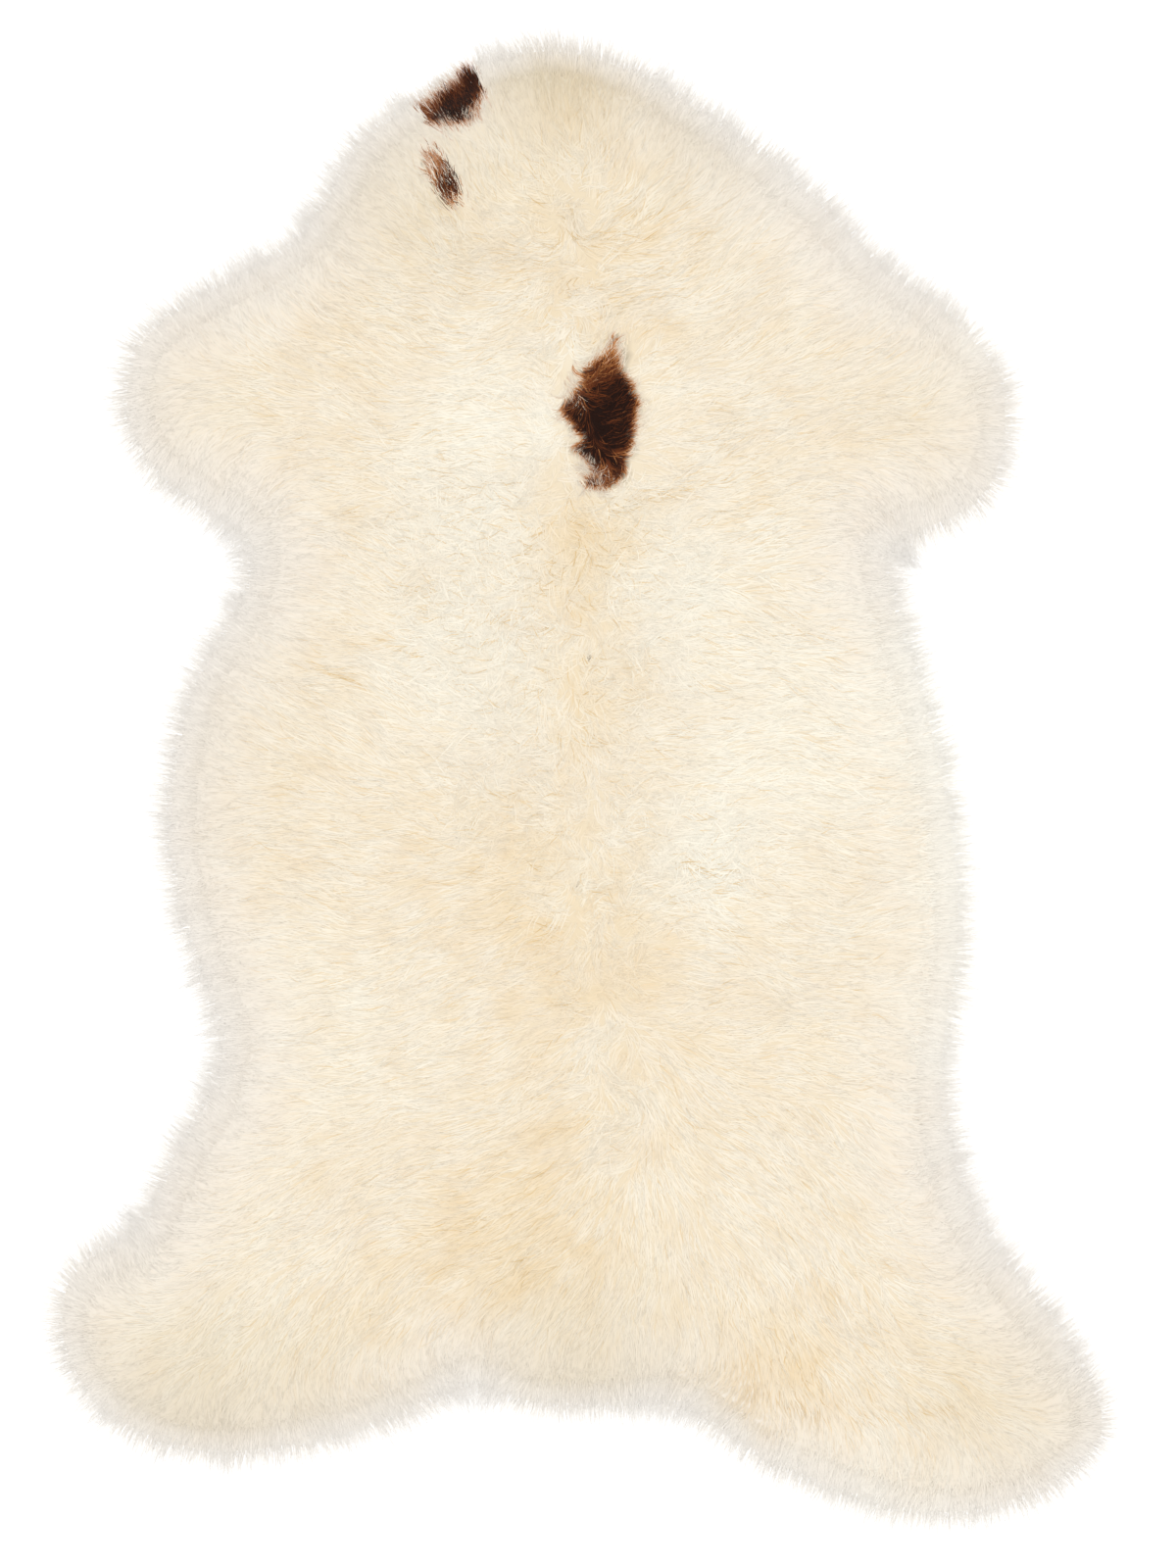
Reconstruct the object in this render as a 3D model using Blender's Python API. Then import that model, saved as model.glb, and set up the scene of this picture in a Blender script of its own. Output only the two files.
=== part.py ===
"""Sheepskin rug: a whole tanned sheep's skin, lying flat with the wool up.

Frame: metres, +Z up. +Y runs up the back to the neck, +X to the right as seen from above.
The origin is on the floor, under the middle of the rug.

The hide is a flat sheet. The fleece is a lumpy slab of pile that sits over it like a cap: its
underside is let in by the hide's thickness, its top follows the swells and partings of the wool,
and its rim rolls down to a low wall, from which four-sided locks run out to the floor.
"""

import math
from collections import namedtuple

import bmesh
import bpy
import numpy as np
from mathutils import Vector, noise
from mathutils.geometry import delaunay_2d_cdt

# ---------------------------------------------------------------- driving dimensions (metres)
HIDE_THICKNESS = 0.002
PILE_HEIGHT = 0.046          # top of the wool above the floor, over the body
ROLL_WIDTH = 0.060           # how far in from the slab's rim the pile is rounded over
RIM_HEIGHT = 0.015           # height of the slab's wall, where the locks start
HIDE_INSET = 0.046           # the hide's edge, in from the reach of the wool
SLAB_INSET = 0.023           # the slab's wall, in from the reach of the wool
HIDE_WAVER = 0.003           # how far the hide's edge wanders in and out
WAVER_LENGTH = 0.070
SEAT_GAP = 0.0003            # air between the hide and the fleece
SEAT_OVERCUT = 0.005         # how far the seat's cutter reaches below the floor

LOCK_COUNT = 252
LOCK_VARIATION = 0.30        # share by which a lock is longer or shorter than its room
LOCK_UNEVENNESS = 0.24       # share of a lock's width by which its edges are shifted
LOCK_SWING = math.radians(20.0)
SWEEP_LENGTH = 0.110         # distance along the rim over which locks swing from side to side
LOCK_LEAN = math.radians(22.0)
LEAN_SHARE = 0.5             # how far a lock follows the lie of the wool where that is oblique
HOLLOW_SHARE = 0.80          # a lock's longest share of the way to the middle of a hollow
NARROWEST_FAN = 0.25
WIDEST_FAN = 1.25
WAVER_SEED = 3.1
SWEEP_SEED = 11.7
LOCK_SEED = 29
WALL_SEED = 41

LUMP_HEIGHT = 0.0095
LUMP_LENGTH = 0.055          # size of a lump across the lie of the wool
LUMP_DRAW = 0.026            # how far a lump is drawn out along the lie
TUFT_HEIGHT = 0.0050
TUFT_LENGTH = 0.028
TUFT_DRAW = 0.013
LUMP_SEED = 5.0
TUFT_SEED = 17.0

OUTLINE_STEP = 0.004
HIDE_STEP = 0.016
PILE_STEP = 0.0165           # spacing of the slab's points over the body
FIELD_MARGIN = 0.0115        # room between the innermost row of the rim and that spacing
KEPT_INSET = 0.985           # share of its inset that a point of an inset outline must keep
SHARP_ANGLE = math.radians(40.0)
WELD_DISTANCE = 1e-5
POINT_TOLERANCE = 1e-6

# Heights and widths of a lock's sections, from the wall to the tip.
LockSection = namedtuple("LockSection", "along width height")
LOCK_SECTIONS = (
    LockSection(along=0.52, width=0.68, height=0.0090),
    LockSection(along=1.00, width=0.20, height=0.0022),
)

# Rows of points that carry the rolled rim, in from the slab's wall.
RimRow = namedtuple("RimRow", "inset step")
RIM_ROWS = (
    RimRow(inset=0.0055, step=0.0135),
    RimRow(inset=0.0160, step=0.0145),
    RimRow(inset=0.0300, step=0.0160),
)

# The farthest reach of the wool, clockwise from the nose end, as seen from above.
Landmark = namedtuple("Landmark", "name x y")
WOOL_REACH = (
    Landmark("nose", -0.016, 0.530),
    Landmark("right_crown", 0.045, 0.511),
    Landmark("right_cheek", 0.098, 0.477),
    Landmark("right_neck", 0.160, 0.430),
    Landmark("right_shoulder", 0.211, 0.378),
    Landmark("right_foreleg_top", 0.270, 0.333),
    Landmark("right_foreleg_knee", 0.299, 0.300),
    Landmark("right_foreleg_tip", 0.309, 0.260),
    Landmark("right_foreleg_heel", 0.293, 0.202),
    Landmark("right_foreleg_back", 0.252, 0.175),
    Landmark("right_armpit", 0.222, 0.163),
    Landmark("right_rib", 0.229, 0.125),
    Landmark("right_side", 0.251, 0.055),
    Landmark("right_belly", 0.268, -0.025),
    Landmark("right_loin", 0.275, -0.110),
    Landmark("right_flank", 0.262, -0.225),
    Landmark("right_thigh", 0.284, -0.305),
    Landmark("right_hock", 0.337, -0.377),
    Landmark("right_hind_leg_front", 0.365, -0.422),
    Landmark("right_hind_leg_tip", 0.380, -0.462),
    Landmark("right_hind_leg_heel", 0.346, -0.502),
    Landmark("right_hind_leg_back", 0.262, -0.531),
    Landmark("right_rump", 0.165, -0.508),
    Landmark("right_tail_fold", 0.102, -0.477),
    Landmark("tail_right", 0.068, -0.452),
    Landmark("tail", 0.000, -0.453),
    Landmark("tail_left", -0.048, -0.450),
    Landmark("left_tail_fold", -0.079, -0.437),
    Landmark("left_rump", -0.140, -0.463),
    Landmark("left_hind_leg_back", -0.265, -0.487),
    Landmark("left_hind_leg_heel", -0.344, -0.459),
    Landmark("left_hind_leg_tip", -0.381, -0.405),
    Landmark("left_hind_leg_front", -0.374, -0.345),
    Landmark("left_hock", -0.325, -0.314),
    Landmark("left_thigh", -0.301, -0.266),
    Landmark("left_flank", -0.266, -0.195),
    Landmark("left_loin", -0.292, -0.105),
    Landmark("left_belly", -0.305, -0.030),
    Landmark("left_side", -0.289, 0.065),
    Landmark("left_rib", -0.250, 0.138),
    Landmark("left_armpit", -0.246, 0.168),
    Landmark("left_foreleg_back", -0.289, 0.197),
    Landmark("left_foreleg_heel", -0.323, 0.229),
    Landmark("left_foreleg_tip", -0.337, 0.275),
    Landmark("left_foreleg_knee", -0.322, 0.322),
    Landmark("left_foreleg_top", -0.278, 0.354),
    Landmark("left_shoulder", -0.214, 0.390),
    Landmark("left_neck", -0.187, 0.429),
    Landmark("left_cheek", -0.166, 0.461),
    Landmark("left_crown", -0.119, 0.497),
    Landmark("left_brow", -0.069, 0.523),
)

# The line along the back from which the wool lies away on every side.
BACK_LINE_FRONT = np.array((-0.006, 0.194))
BACK_LINE_REAR = np.array((0.005, -0.177))
STANDING_WOOL = 0.010        # half the width of the strip where the wool stands up

# Broad swells where the wool is fullest, and flats where it is thinner.
Swell = namedtuple("Swell", "name x y radius height")
SWELLS = (
    Swell("withers_left", -0.075, 0.225, 0.075, 0.005),
    Swell("withers_right", 0.110, 0.245, 0.080, 0.003),
    Swell("rib_left", -0.190, 0.020, 0.085, 0.004),
    Swell("rib_right", 0.150, 0.040, 0.085, 0.004),
    Swell("loin_right", 0.090, -0.055, 0.050, 0.004),
    Swell("rump_left", -0.090, -0.290, 0.080, 0.004),
    Swell("rump_right", 0.150, -0.300, 0.080, 0.004),
    Swell("left_thigh", -0.240, -0.365, 0.060, 0.006),
    Swell("right_thigh", 0.265, -0.395, 0.055, 0.005),
    Swell("tail", 0.010, -0.400, 0.060, -0.006),
    Swell("crown", -0.020, 0.440, 0.070, -0.004),
)

# Soft troughs where the wool parts.
Parting = namedtuple("Parting", "name x1 y1 x2 y2 width depth")
PARTINGS = (
    Parting("left_withers", -0.140, 0.140, -0.038, 0.112, 0.016, 0.007),
    Parting("left_shoulder", -0.118, 0.215, -0.070, 0.222, 0.014, 0.005),
    Parting("left_loin", -0.085, -0.012, -0.030, -0.020, 0.015, 0.006),
    Parting("right_rib", 0.055, 0.038, 0.130, 0.016, 0.015, 0.006),
    Parting("right_loin", 0.060, -0.066, 0.120, -0.060, 0.014, 0.006),
    Parting("neck", -0.005, 0.392, 0.048, 0.400, 0.014, 0.005),
    Parting("right_hind_leg", 0.105, -0.440, 0.335, -0.424, 0.018, 0.008),
    Parting("left_hind_leg", -0.330, -0.385, -0.120, -0.420, 0.018, 0.006),
    Parting("back_front", -0.004, 0.180, -0.010, 0.060, 0.018, 0.005),
    Parting("back_rear", 0.004, -0.080, 0.010, -0.180, 0.016, 0.004),
)

# A lock's foot, the direction along the wall there, the direction in which it lies, and by how
# much the room beside it widens for each metre out from the wall.
Lock = namedtuple("Lock", "foot side way width length spread")

Finish = namedtuple("Finish", "name colour roughness metallic")
WOOL = Finish("wool", (0.88, 0.80, 0.66, 1.0), 0.95, 0.0)
TANNED_HIDE = Finish("tanned_hide", (0.71, 0.56, 0.38, 1.0), 0.80, 0.0)


# ---------------------------------------------------------------- outlines
def curve_through(points):
    """Closed centripetal Catmull-Rom curve through the points, at steps of OUTLINE_STEP."""
    count = len(points)
    pieces = []
    for i in range(count):
        p0, p1, p2, p3 = (points[(i + k) % count] for k in (-1, 0, 1, 2))
        t1 = math.sqrt(np.linalg.norm(p1 - p0))
        t2 = t1 + math.sqrt(np.linalg.norm(p2 - p1))
        t3 = t2 + math.sqrt(np.linalg.norm(p3 - p2))
        steps = max(2, round(np.linalg.norm(p2 - p1) / OUTLINE_STEP))
        t = np.linspace(t1, t2, steps, endpoint=False)[:, None]
        a1 = (t1 - t) / t1 * p0 + t / t1 * p1
        a2 = (t2 - t) / (t2 - t1) * p1 + (t - t1) / (t2 - t1) * p2
        a3 = (t3 - t) / (t3 - t2) * p2 + (t - t2) / (t3 - t2) * p3
        b1 = (t2 - t) / t2 * a1 + t / t2 * a2
        b2 = (t3 - t) / (t3 - t1) * a2 + (t - t1) / (t3 - t1) * a3
        pieces.append((t2 - t) / (t2 - t1) * b1 + (t - t1) / (t2 - t1) * b2)
    return np.concatenate(pieces)


def spaced(loop, count, unevenness=0.0):
    """The closed loop as count points along it, evenly spaced or shifted by shares of a step."""
    closed = np.vstack((loop, loop[:1]))
    lengths = np.linalg.norm(np.diff(closed, axis=0), axis=1)
    along = np.concatenate(([0.0], np.cumsum(lengths)))
    at = (np.arange(count) + unevenness) * along[-1] / count
    return np.column_stack([np.interp(at, along, closed[:, axis]) for axis in (0, 1)])


def loop_length(loop):
    """Length of the closed loop."""
    return np.linalg.norm(np.roll(loop, -1, axis=0) - loop, axis=1).sum()


def outward_normals(loop):
    """Unit normals of a clockwise loop, pointing out of it."""
    tangent = np.roll(loop, -1, axis=0) - np.roll(loop, 1, axis=0)
    normal = np.column_stack((-tangent[:, 1], tangent[:, 0]))
    return normal / np.linalg.norm(normal, axis=1)[:, None]


def distance_to(loop, points):
    """Distance of each point to the nearest edge of the closed loop."""
    edge = np.roll(loop, -1, axis=0) - loop
    offset = points[:, None, :] - loop[None, :, :]
    share = (offset * edge).sum(2) / (edge * edge).sum(1)
    share = np.clip(share, 0.0, 1.0)
    return np.linalg.norm(offset - share[:, :, None] * edge, axis=2).min(axis=1)


def is_inside(loop, points):
    """Which of the points lie inside the closed loop, by crossings of a ray along +X."""
    x, y = points[:, 0, None], points[:, 1, None]
    x1, y1 = loop.T
    x2, y2 = np.roll(loop, -1, axis=0).T
    crosses = (y1 > y) != (y2 > y)
    with np.errstate(divide="ignore", invalid="ignore"):
        at = x1 + (y - y1) * (x2 - x1) / (y2 - y1)
    return (crosses & (x < at)).sum(axis=1) % 2 == 1


def inset_loop(loop, inset, step):
    """The loop moved in by the inset, without the points where it would fold over itself."""
    moved = loop - outward_normals(loop) * np.reshape(inset, (-1, 1))
    clear = distance_to(loop, moved) >= KEPT_INSET * np.ravel(inset)
    moved = moved[clear & is_inside(loop, moved)]
    return spaced(moved, round(loop_length(moved) / step))


# ---------------------------------------------------------------- form of the wool
def lie_of_wool(points):
    """Direction in which the wool lies at each point, away from the line along the back.

    It is a unit vector, which fades out close to that line, where the wool stands up.
    """
    line = BACK_LINE_REAR - BACK_LINE_FRONT
    share = np.clip((points - BACK_LINE_FRONT) @ line / (line @ line), 0.0, 1.0)
    away = points - (BACK_LINE_FRONT + share[:, None] * line)
    return away / np.maximum(np.linalg.norm(away, axis=1), STANDING_WOOL)[:, None]


def drawn_noise(points, lie, size, draw, seed):
    """Smooth noise of about -1 to 1, drawn out along the lie of the wool."""
    total = np.zeros(len(points))
    shifts = (-draw, 0.0, draw)
    for shift in shifts:
        moved = (points + lie * shift) / size
        total += [noise.noise(Vector((x, y, seed))) for x, y in moved]
    return total / len(shifts)


def swell_height(points):
    """Height that the broad swells add at each point."""
    height = np.zeros(len(points))
    for swell in SWELLS:
        away = np.linalg.norm(points - (swell.x, swell.y), axis=1) / swell.radius
        height += swell.height * np.exp(-away ** 2)
    return height


def parting_depth(points):
    """Depth of the partings at each point."""
    depth = np.zeros(len(points))
    for part in PARTINGS:
        start = np.array((part.x1, part.y1))
        line = np.array((part.x2, part.y2)) - start
        share = np.clip((points - start) @ line / (line @ line), 0.0, 1.0)
        away = np.linalg.norm(points - start - share[:, None] * line, axis=1) / part.width
        depth = np.maximum(depth, part.depth * np.exp(-away ** 2))
    return depth


def pile_top(points, rim_distance):
    """Height of the fleece's top at each point, given its distance from the slab's wall."""
    roll = np.clip(1.0 - rim_distance / ROLL_WIDTH, 0.0, 1.0)
    rounded = np.sqrt(1.0 - roll ** 2)
    lie = lie_of_wool(points)
    lumps = LUMP_HEIGHT * drawn_noise(points, lie, LUMP_LENGTH, LUMP_DRAW, LUMP_SEED)
    tufts = TUFT_HEIGHT * drawn_noise(points, lie, TUFT_LENGTH, TUFT_DRAW, TUFT_SEED)
    relief = swell_height(points) - parting_depth(points) + lumps + tufts
    return RIM_HEIGHT + (PILE_HEIGHT - RIM_HEIGHT + relief) * rounded


# ---------------------------------------------------------------- scene helpers
def clear_scene():
    """Remove every object of the open scene."""
    for item in list(bpy.data.objects):
        bpy.data.objects.remove(item, do_unlink=True)


def new_collection(name):
    """A collection of that name, linked to the scene."""
    group = bpy.data.collections.new(name)
    bpy.context.scene.collection.children.link(group)
    return group


def principled(finish):
    """A Principled material with the finish's colour, roughness and metallic value."""
    material = bpy.data.materials.new(finish.name)
    material.use_nodes = True
    shader = material.node_tree.nodes["Principled BSDF"]
    shader.inputs["Base Color"].default_value = finish.colour
    shader.inputs["Roughness"].default_value = finish.roughness
    shader.inputs["Metallic"].default_value = finish.metallic
    material.diffuse_color = finish.colour
    return material


def object_from_bmesh(name, shape, group):
    """A mesh object made from the bmesh, which is freed."""
    mesh = bpy.data.meshes.new(name)
    shape.to_mesh(mesh)
    shape.free()
    item = bpy.data.objects.new(name, mesh)
    group.objects.link(item)
    return item


# ---------------------------------------------------------------- hide
def hide_outline(reach, growth):
    """The hide's edge: the reach moved in, wandering a little, and grown by the growth."""
    waver = [noise.noise(Vector((x, y, 0.0)) / WAVER_LENGTH + Vector((0.0, 0.0, WAVER_SEED)))
             for x, y in reach]
    inset = HIDE_INSET + HIDE_WAVER * np.array(waver)
    edge = inset_loop(reach, inset, HIDE_STEP)
    return edge + outward_normals(edge) * growth


def flat_sheet(name, outline, bottom, top, group):
    """A flat sheet of that outline, from a filled 2D curve, as a welded mesh."""
    curve = bpy.data.curves.new(name, "CURVE")
    curve.dimensions = "2D"
    curve.fill_mode = "BOTH"
    curve.extrude = (top - bottom) / 2
    spline = curve.splines.new("POLY")
    spline.points.add(len(outline) - 1)
    for point, (x, y) in zip(spline.points, outline):
        point.co = (x, y, 0.0, 1.0)
    spline.use_cyclic_u = True
    guide = bpy.data.objects.new(name + "_outline", curve)
    guide.location.z = (top + bottom) / 2
    group.objects.link(guide)
    bpy.context.view_layer.update()
    evaluated = guide.evaluated_get(bpy.context.evaluated_depsgraph_get())
    mesh = bpy.data.meshes.new_from_object(evaluated)
    mesh.transform(guide.matrix_world)
    bpy.data.objects.remove(guide, do_unlink=True)

    shape = bmesh.new()
    shape.from_mesh(mesh)
    bpy.data.meshes.remove(mesh)
    bmesh.ops.remove_doubles(shape, verts=shape.verts, dist=WELD_DISTANCE)
    bmesh.ops.recalc_face_normals(shape, faces=shape.faces)
    return object_from_bmesh(name, shape, group)


# ---------------------------------------------------------------- fleece
def slab_points(wall):
    """The wall's points, then those of the rolled rim, then an even field over the body."""
    rows = [inset_loop(wall, np.full(len(wall), row.inset), row.step) for row in RIM_ROWS]
    low, high = wall.min(axis=0), wall.max(axis=0)
    row_step = PILE_STEP * math.sqrt(3.0) / 2
    field = []
    for j, y in enumerate(np.arange(low[1], high[1], row_step)):
        shift = PILE_STEP / 2 * (j % 2)
        field += [(x, y) for x in np.arange(low[0] + shift, high[0], PILE_STEP)]
    field = np.array(field)
    field = field[is_inside(wall, field)]
    deep = distance_to(wall, field) > RIM_ROWS[-1].inset + FIELD_MARGIN
    return np.concatenate([wall, *rows, field[deep]])


def slab(wall):
    """The slab of pile, and the quads of its wall.

    The slab has a triangulated top, a low upright wall round it and a flat underside.
    """
    points = slab_points(wall)
    heights = pile_top(points, distance_to(wall, points))
    ring = list(range(len(wall)))[::-1]
    places, _, faces, origins, _, _ = delaunay_2d_cdt(
        [Vector(point) for point in points], [], [ring], 1, POINT_TOLERANCE)

    shape = bmesh.new()
    verts = [shape.verts.new((place.x, place.y, heights[origin[0]]))
             for place, origin in zip(places, origins)]
    for face in faces:
        shape.faces.new([verts[index] for index in face])
    rim_edges = [edge for edge in shape.edges if edge.is_boundary]
    wall_parts = bmesh.ops.extrude_edge_only(shape, edges=rim_edges)["geom"]
    for vert in wall_parts:
        if isinstance(vert, bmesh.types.BMVert):
            vert.co.z = 0.0
    floor_edges = [edge for edge in shape.edges if edge.is_boundary]
    bmesh.ops.edgeloop_fill(shape, edges=floor_edges)
    bmesh.ops.recalc_face_normals(shape, faces=shape.faces)
    walls = [face for face in wall_parts if isinstance(face, bmesh.types.BMFace)]
    return shape, walls


def plan_locks(wall, reach):
    """Place, direction, length and narrowing of the lock that grows from each quad of the wall."""
    following = np.roll(wall, -1, axis=0)
    middles = (wall + following) / 2
    widths = np.linalg.norm(following - wall, axis=1)
    along = (following - wall) / widths[:, None]
    out = np.column_stack((-along[:, 1], along[:, 0]))
    normals = outward_normals(wall)
    spread = ((np.roll(normals, -1, axis=0) - normals) * along).sum(axis=1) / widths

    lie = lie_of_wool(middles)
    lean = np.arctan2((lie * along).sum(axis=1), (lie * out).sum(axis=1))
    rooms = distance_to(reach, middles)
    rng = np.random.default_rng(LOCK_SEED)
    stretch = 1.0 + LOCK_VARIATION * rng.uniform(-1.0, 0.7, len(wall))
    locks = []
    for i, (x, y) in enumerate(middles):
        foot = Vector((x, y, 0.0))
        swing = noise.noise(foot / SWEEP_LENGTH + Vector((0.0, 0.0, SWEEP_SEED)))
        turn = LOCK_SWING * swing + max(-LOCK_LEAN, min(LOCK_LEAN, LEAN_SHARE * lean[i]))
        length = rooms[i] * stretch[i]
        if spread[i] < 0.0:
            length = min(length, HOLLOW_SHARE / -spread[i])
        side = Vector((*along[i], 0.0))
        ahead = Vector((*out[i], 0.0))
        way = ahead * math.cos(turn) + side * math.sin(turn)
        locks.append(Lock(foot, side, way, widths[i], length, spread[i]))
    return locks


def add_locks(shape, walls, locks):
    """Draw each wall quad out into its lock, which tapers down to the floor."""
    for face in walls:
        below = face.calc_center_median() * Vector((1.0, 1.0, 0.0))
        lock = min(locks, key=lambda one: (one.foot - below).length_squared)
        before = lock.foot
        for section in LOCK_SECTIONS:
            face = bmesh.ops.extrude_discrete_faces(shape, faces=[face])["faces"][0]
            reach = lock.length * section.along
            fan = min(max(1.0 + lock.spread * reach, NARROWEST_FAN), WIDEST_FAN)
            centre = lock.foot + lock.way * reach
            half = lock.width * section.width * fan / 2
            for vert in face.verts:
                hand = math.copysign(half, (vert.co - before).dot(lock.side))
                height = section.height if vert.co.z > 0.0 else 0.0
                vert.co = centre + lock.side * hand + Vector((0.0, 0.0, height))
            before = centre
    bmesh.ops.recalc_face_normals(shape, faces=shape.faces)


def cut_seat(fleece, cutter):
    """Let the hide's thickness into the fleece's underside."""
    cut = fleece.modifiers.new("seat_for_hide", "BOOLEAN")
    cut.operation = "DIFFERENCE"
    cut.solver = "EXACT"
    cut.object = cutter
    cutter.hide_render = True
    cutter.display_type = "WIRE"


# ---------------------------------------------------------------- build
def main():
    """Build the hide and the fleece over it."""
    clear_scene()
    parts = new_collection("sheepskin_rug")
    cutters = new_collection("cutters")

    reach = curve_through([np.array((mark.x, mark.y)) for mark in WOOL_REACH])
    rng = np.random.default_rng(WALL_SEED)
    shifts = LOCK_UNEVENNESS * rng.uniform(-1.0, 1.0, LOCK_COUNT)
    wall_line = inset_loop(reach, np.full(len(reach), SLAB_INSET), OUTLINE_STEP)
    wall = spaced(wall_line, LOCK_COUNT, 0.5 + shifts)

    hide = flat_sheet("hide", hide_outline(reach, 0.0), 0.0, HIDE_THICKNESS, parts)
    hide.data.materials.append(principled(TANNED_HIDE))

    shape, walls = slab(wall)
    add_locks(shape, walls, plan_locks(wall, reach))
    fleece = object_from_bmesh("fleece", shape, parts)
    fleece.data.materials.append(principled(WOOL))
    fleece.data.shade_smooth()
    fleece.data.set_sharp_from_angle(angle=SHARP_ANGLE)
    seat = flat_sheet("seat_cutter", hide_outline(reach, SEAT_GAP),
                      -SEAT_OVERCUT, HIDE_THICKNESS + SEAT_GAP, cutters)
    cut_seat(fleece, seat)


main()
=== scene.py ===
"""Dressed sheepskin rug: the wool, its markings and the tanned hide, on a pale floor.

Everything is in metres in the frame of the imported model: +Z up, +Y along the back to the neck,
the origin on the floor under the middle of the rug. Only the tables of named places are in
millimetres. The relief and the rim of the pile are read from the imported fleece, so that the wool
grown here lies on the solid and reaches as far as it.
"""
import sys
import logging
import math
from dataclasses import dataclass, field
from enum import Enum

import bmesh
import bpy
import numpy as np
from bpy.types import Material, NodeSocket as Socket, Object
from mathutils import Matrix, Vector
from mathutils.bvhtree import BVHTree
from mathutils.geometry import delaunay_2d_cdt
from mathutils.kdtree import KDTree
from numpy.random import Generator


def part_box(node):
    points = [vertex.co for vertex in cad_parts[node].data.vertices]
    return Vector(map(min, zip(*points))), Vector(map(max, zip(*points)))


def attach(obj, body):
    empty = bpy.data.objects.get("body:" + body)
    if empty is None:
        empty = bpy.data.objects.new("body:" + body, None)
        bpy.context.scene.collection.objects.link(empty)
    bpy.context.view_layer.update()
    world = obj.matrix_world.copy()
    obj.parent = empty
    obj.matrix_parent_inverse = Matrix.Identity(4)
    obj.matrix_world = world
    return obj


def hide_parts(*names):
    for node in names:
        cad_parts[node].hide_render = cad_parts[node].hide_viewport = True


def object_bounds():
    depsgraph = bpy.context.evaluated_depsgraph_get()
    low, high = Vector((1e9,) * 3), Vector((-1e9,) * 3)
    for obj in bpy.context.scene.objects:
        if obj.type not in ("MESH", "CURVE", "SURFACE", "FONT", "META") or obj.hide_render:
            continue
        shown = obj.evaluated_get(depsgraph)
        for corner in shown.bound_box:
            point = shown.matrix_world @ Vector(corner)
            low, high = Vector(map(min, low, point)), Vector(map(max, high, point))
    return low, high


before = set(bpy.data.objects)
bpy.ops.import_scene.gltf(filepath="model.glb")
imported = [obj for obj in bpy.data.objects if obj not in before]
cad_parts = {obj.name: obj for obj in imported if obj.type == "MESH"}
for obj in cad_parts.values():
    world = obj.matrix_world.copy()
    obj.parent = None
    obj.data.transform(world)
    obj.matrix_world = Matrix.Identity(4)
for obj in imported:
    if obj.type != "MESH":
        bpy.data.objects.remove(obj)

LOG = logging.getLogger("sheepskin_rug")
CAD_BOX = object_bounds()
MM = 0.001
JOIN = 0.001 * MM
Array = np.ndarray
Pair = tuple[float, float]


class Region(Enum):
    """Stretches of the back, each grown as one piece of wool, with its hind edge along Y."""

    NECK = 0.330
    SHOULDERS = 0.170
    RIBS = 0.010
    LOIN = -0.150
    FLANKS = -0.300
    RUMP = -1.000


class Shade(Enum):
    """Colours of the wool and the skin, as the eye sees them (red, green, blue of 255)."""

    IVORY = (234, 228, 212)
    CREAM = (226, 214, 194)
    # PEACH and HONEY also colour the painted shade deep in the pile and the painted shadow streaks.
    PEACH = (221, 196, 155)
    HONEY = (206, 173, 117)
    # the rim's painted shade: the greyer tone of the wool where it turns down to the floor
    PEARL = (227, 220, 211)
    FAWN = (202, 188, 160)
    # painted light: near-white for thin wool that light shines through
    SNOW = (250, 248, 245)
    UMBER = (32, 14, 7)
    CHESTNUT = (104, 50, 20)
    GINGER = (184, 122, 70)
    ASH = (205, 190, 172)
    SUEDE = (214, 188, 152)
    SUEDE_DARK = (190, 160, 124)

    def linear(self) -> tuple[float, float, float, float]:
        """The colour in the linear values that shaders take."""
        parts = [channel / 255 for channel in self.value]
        return (*[p / 12.92 if p <= 0.04045 else ((p + 0.055) / 1.055) ** 2.4 for p in parts], 1.0)


# ------------------------------------------------------------------ shared mathematics
def mm(*sizes: float) -> tuple[float, ...]:
    """The sizes, given in millimetres, in metres."""
    return tuple(size * MM for size in sizes)


def degrees(*angles: float) -> tuple[float, ...]:
    """The angles, given in degrees, in radians."""
    return tuple(math.radians(angle) for angle in angles)


def table(kind: type, *rows: tuple) -> tuple:
    """Things of one kind, one for each row of their values."""
    return tuple(kind(*row) for row in rows)


def smooth_step(low: float, high: float, value: Array) -> Array:
    """Smooth ramp from 0 at low to 1 at high."""
    share = np.clip((value - low) / (high - low), 0.0, 1.0)
    return share * share * (3.0 - 2.0 * share)


def unit(vectors: Array) -> Array:
    """The vectors at unit length."""
    return vectors / np.maximum(np.linalg.norm(vectors, axis=-1, keepdims=True), 1e-9)


def turned(vectors: Array, angles: Array) -> Array:
    """Plane vectors turned by the angles, anticlockwise."""
    c, s = np.cos(angles), np.sin(angles)
    x, y = vectors[..., 0], vectors[..., 1]
    return np.stack((c * x - s * y, s * x + c * y), axis=-1)


def fading(offsets: Array, reach: float) -> Array:
    """A share that is 1 where there is no offset, and fades out over the reach."""
    return np.exp(-(np.linalg.norm(offsets, axis=-1) / reach) ** 2)


def from_line(points: Array, start: Array, end: Array) -> Array:
    """How far, and which way, each point lies from the line between two ends."""
    line = end - start
    along = np.clip((points - start) @ line / (line @ line), 0.0, 1.0)
    return points - start - along[..., None] * line


def search_tree(points: Array) -> KDTree:
    """A tree that finds the nearest of the points in the plane."""
    tree = KDTree(len(points))
    for index, (x, y) in enumerate(points):
        tree.insert((x, y, 0.0), index)
    tree.balance()
    return tree


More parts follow.
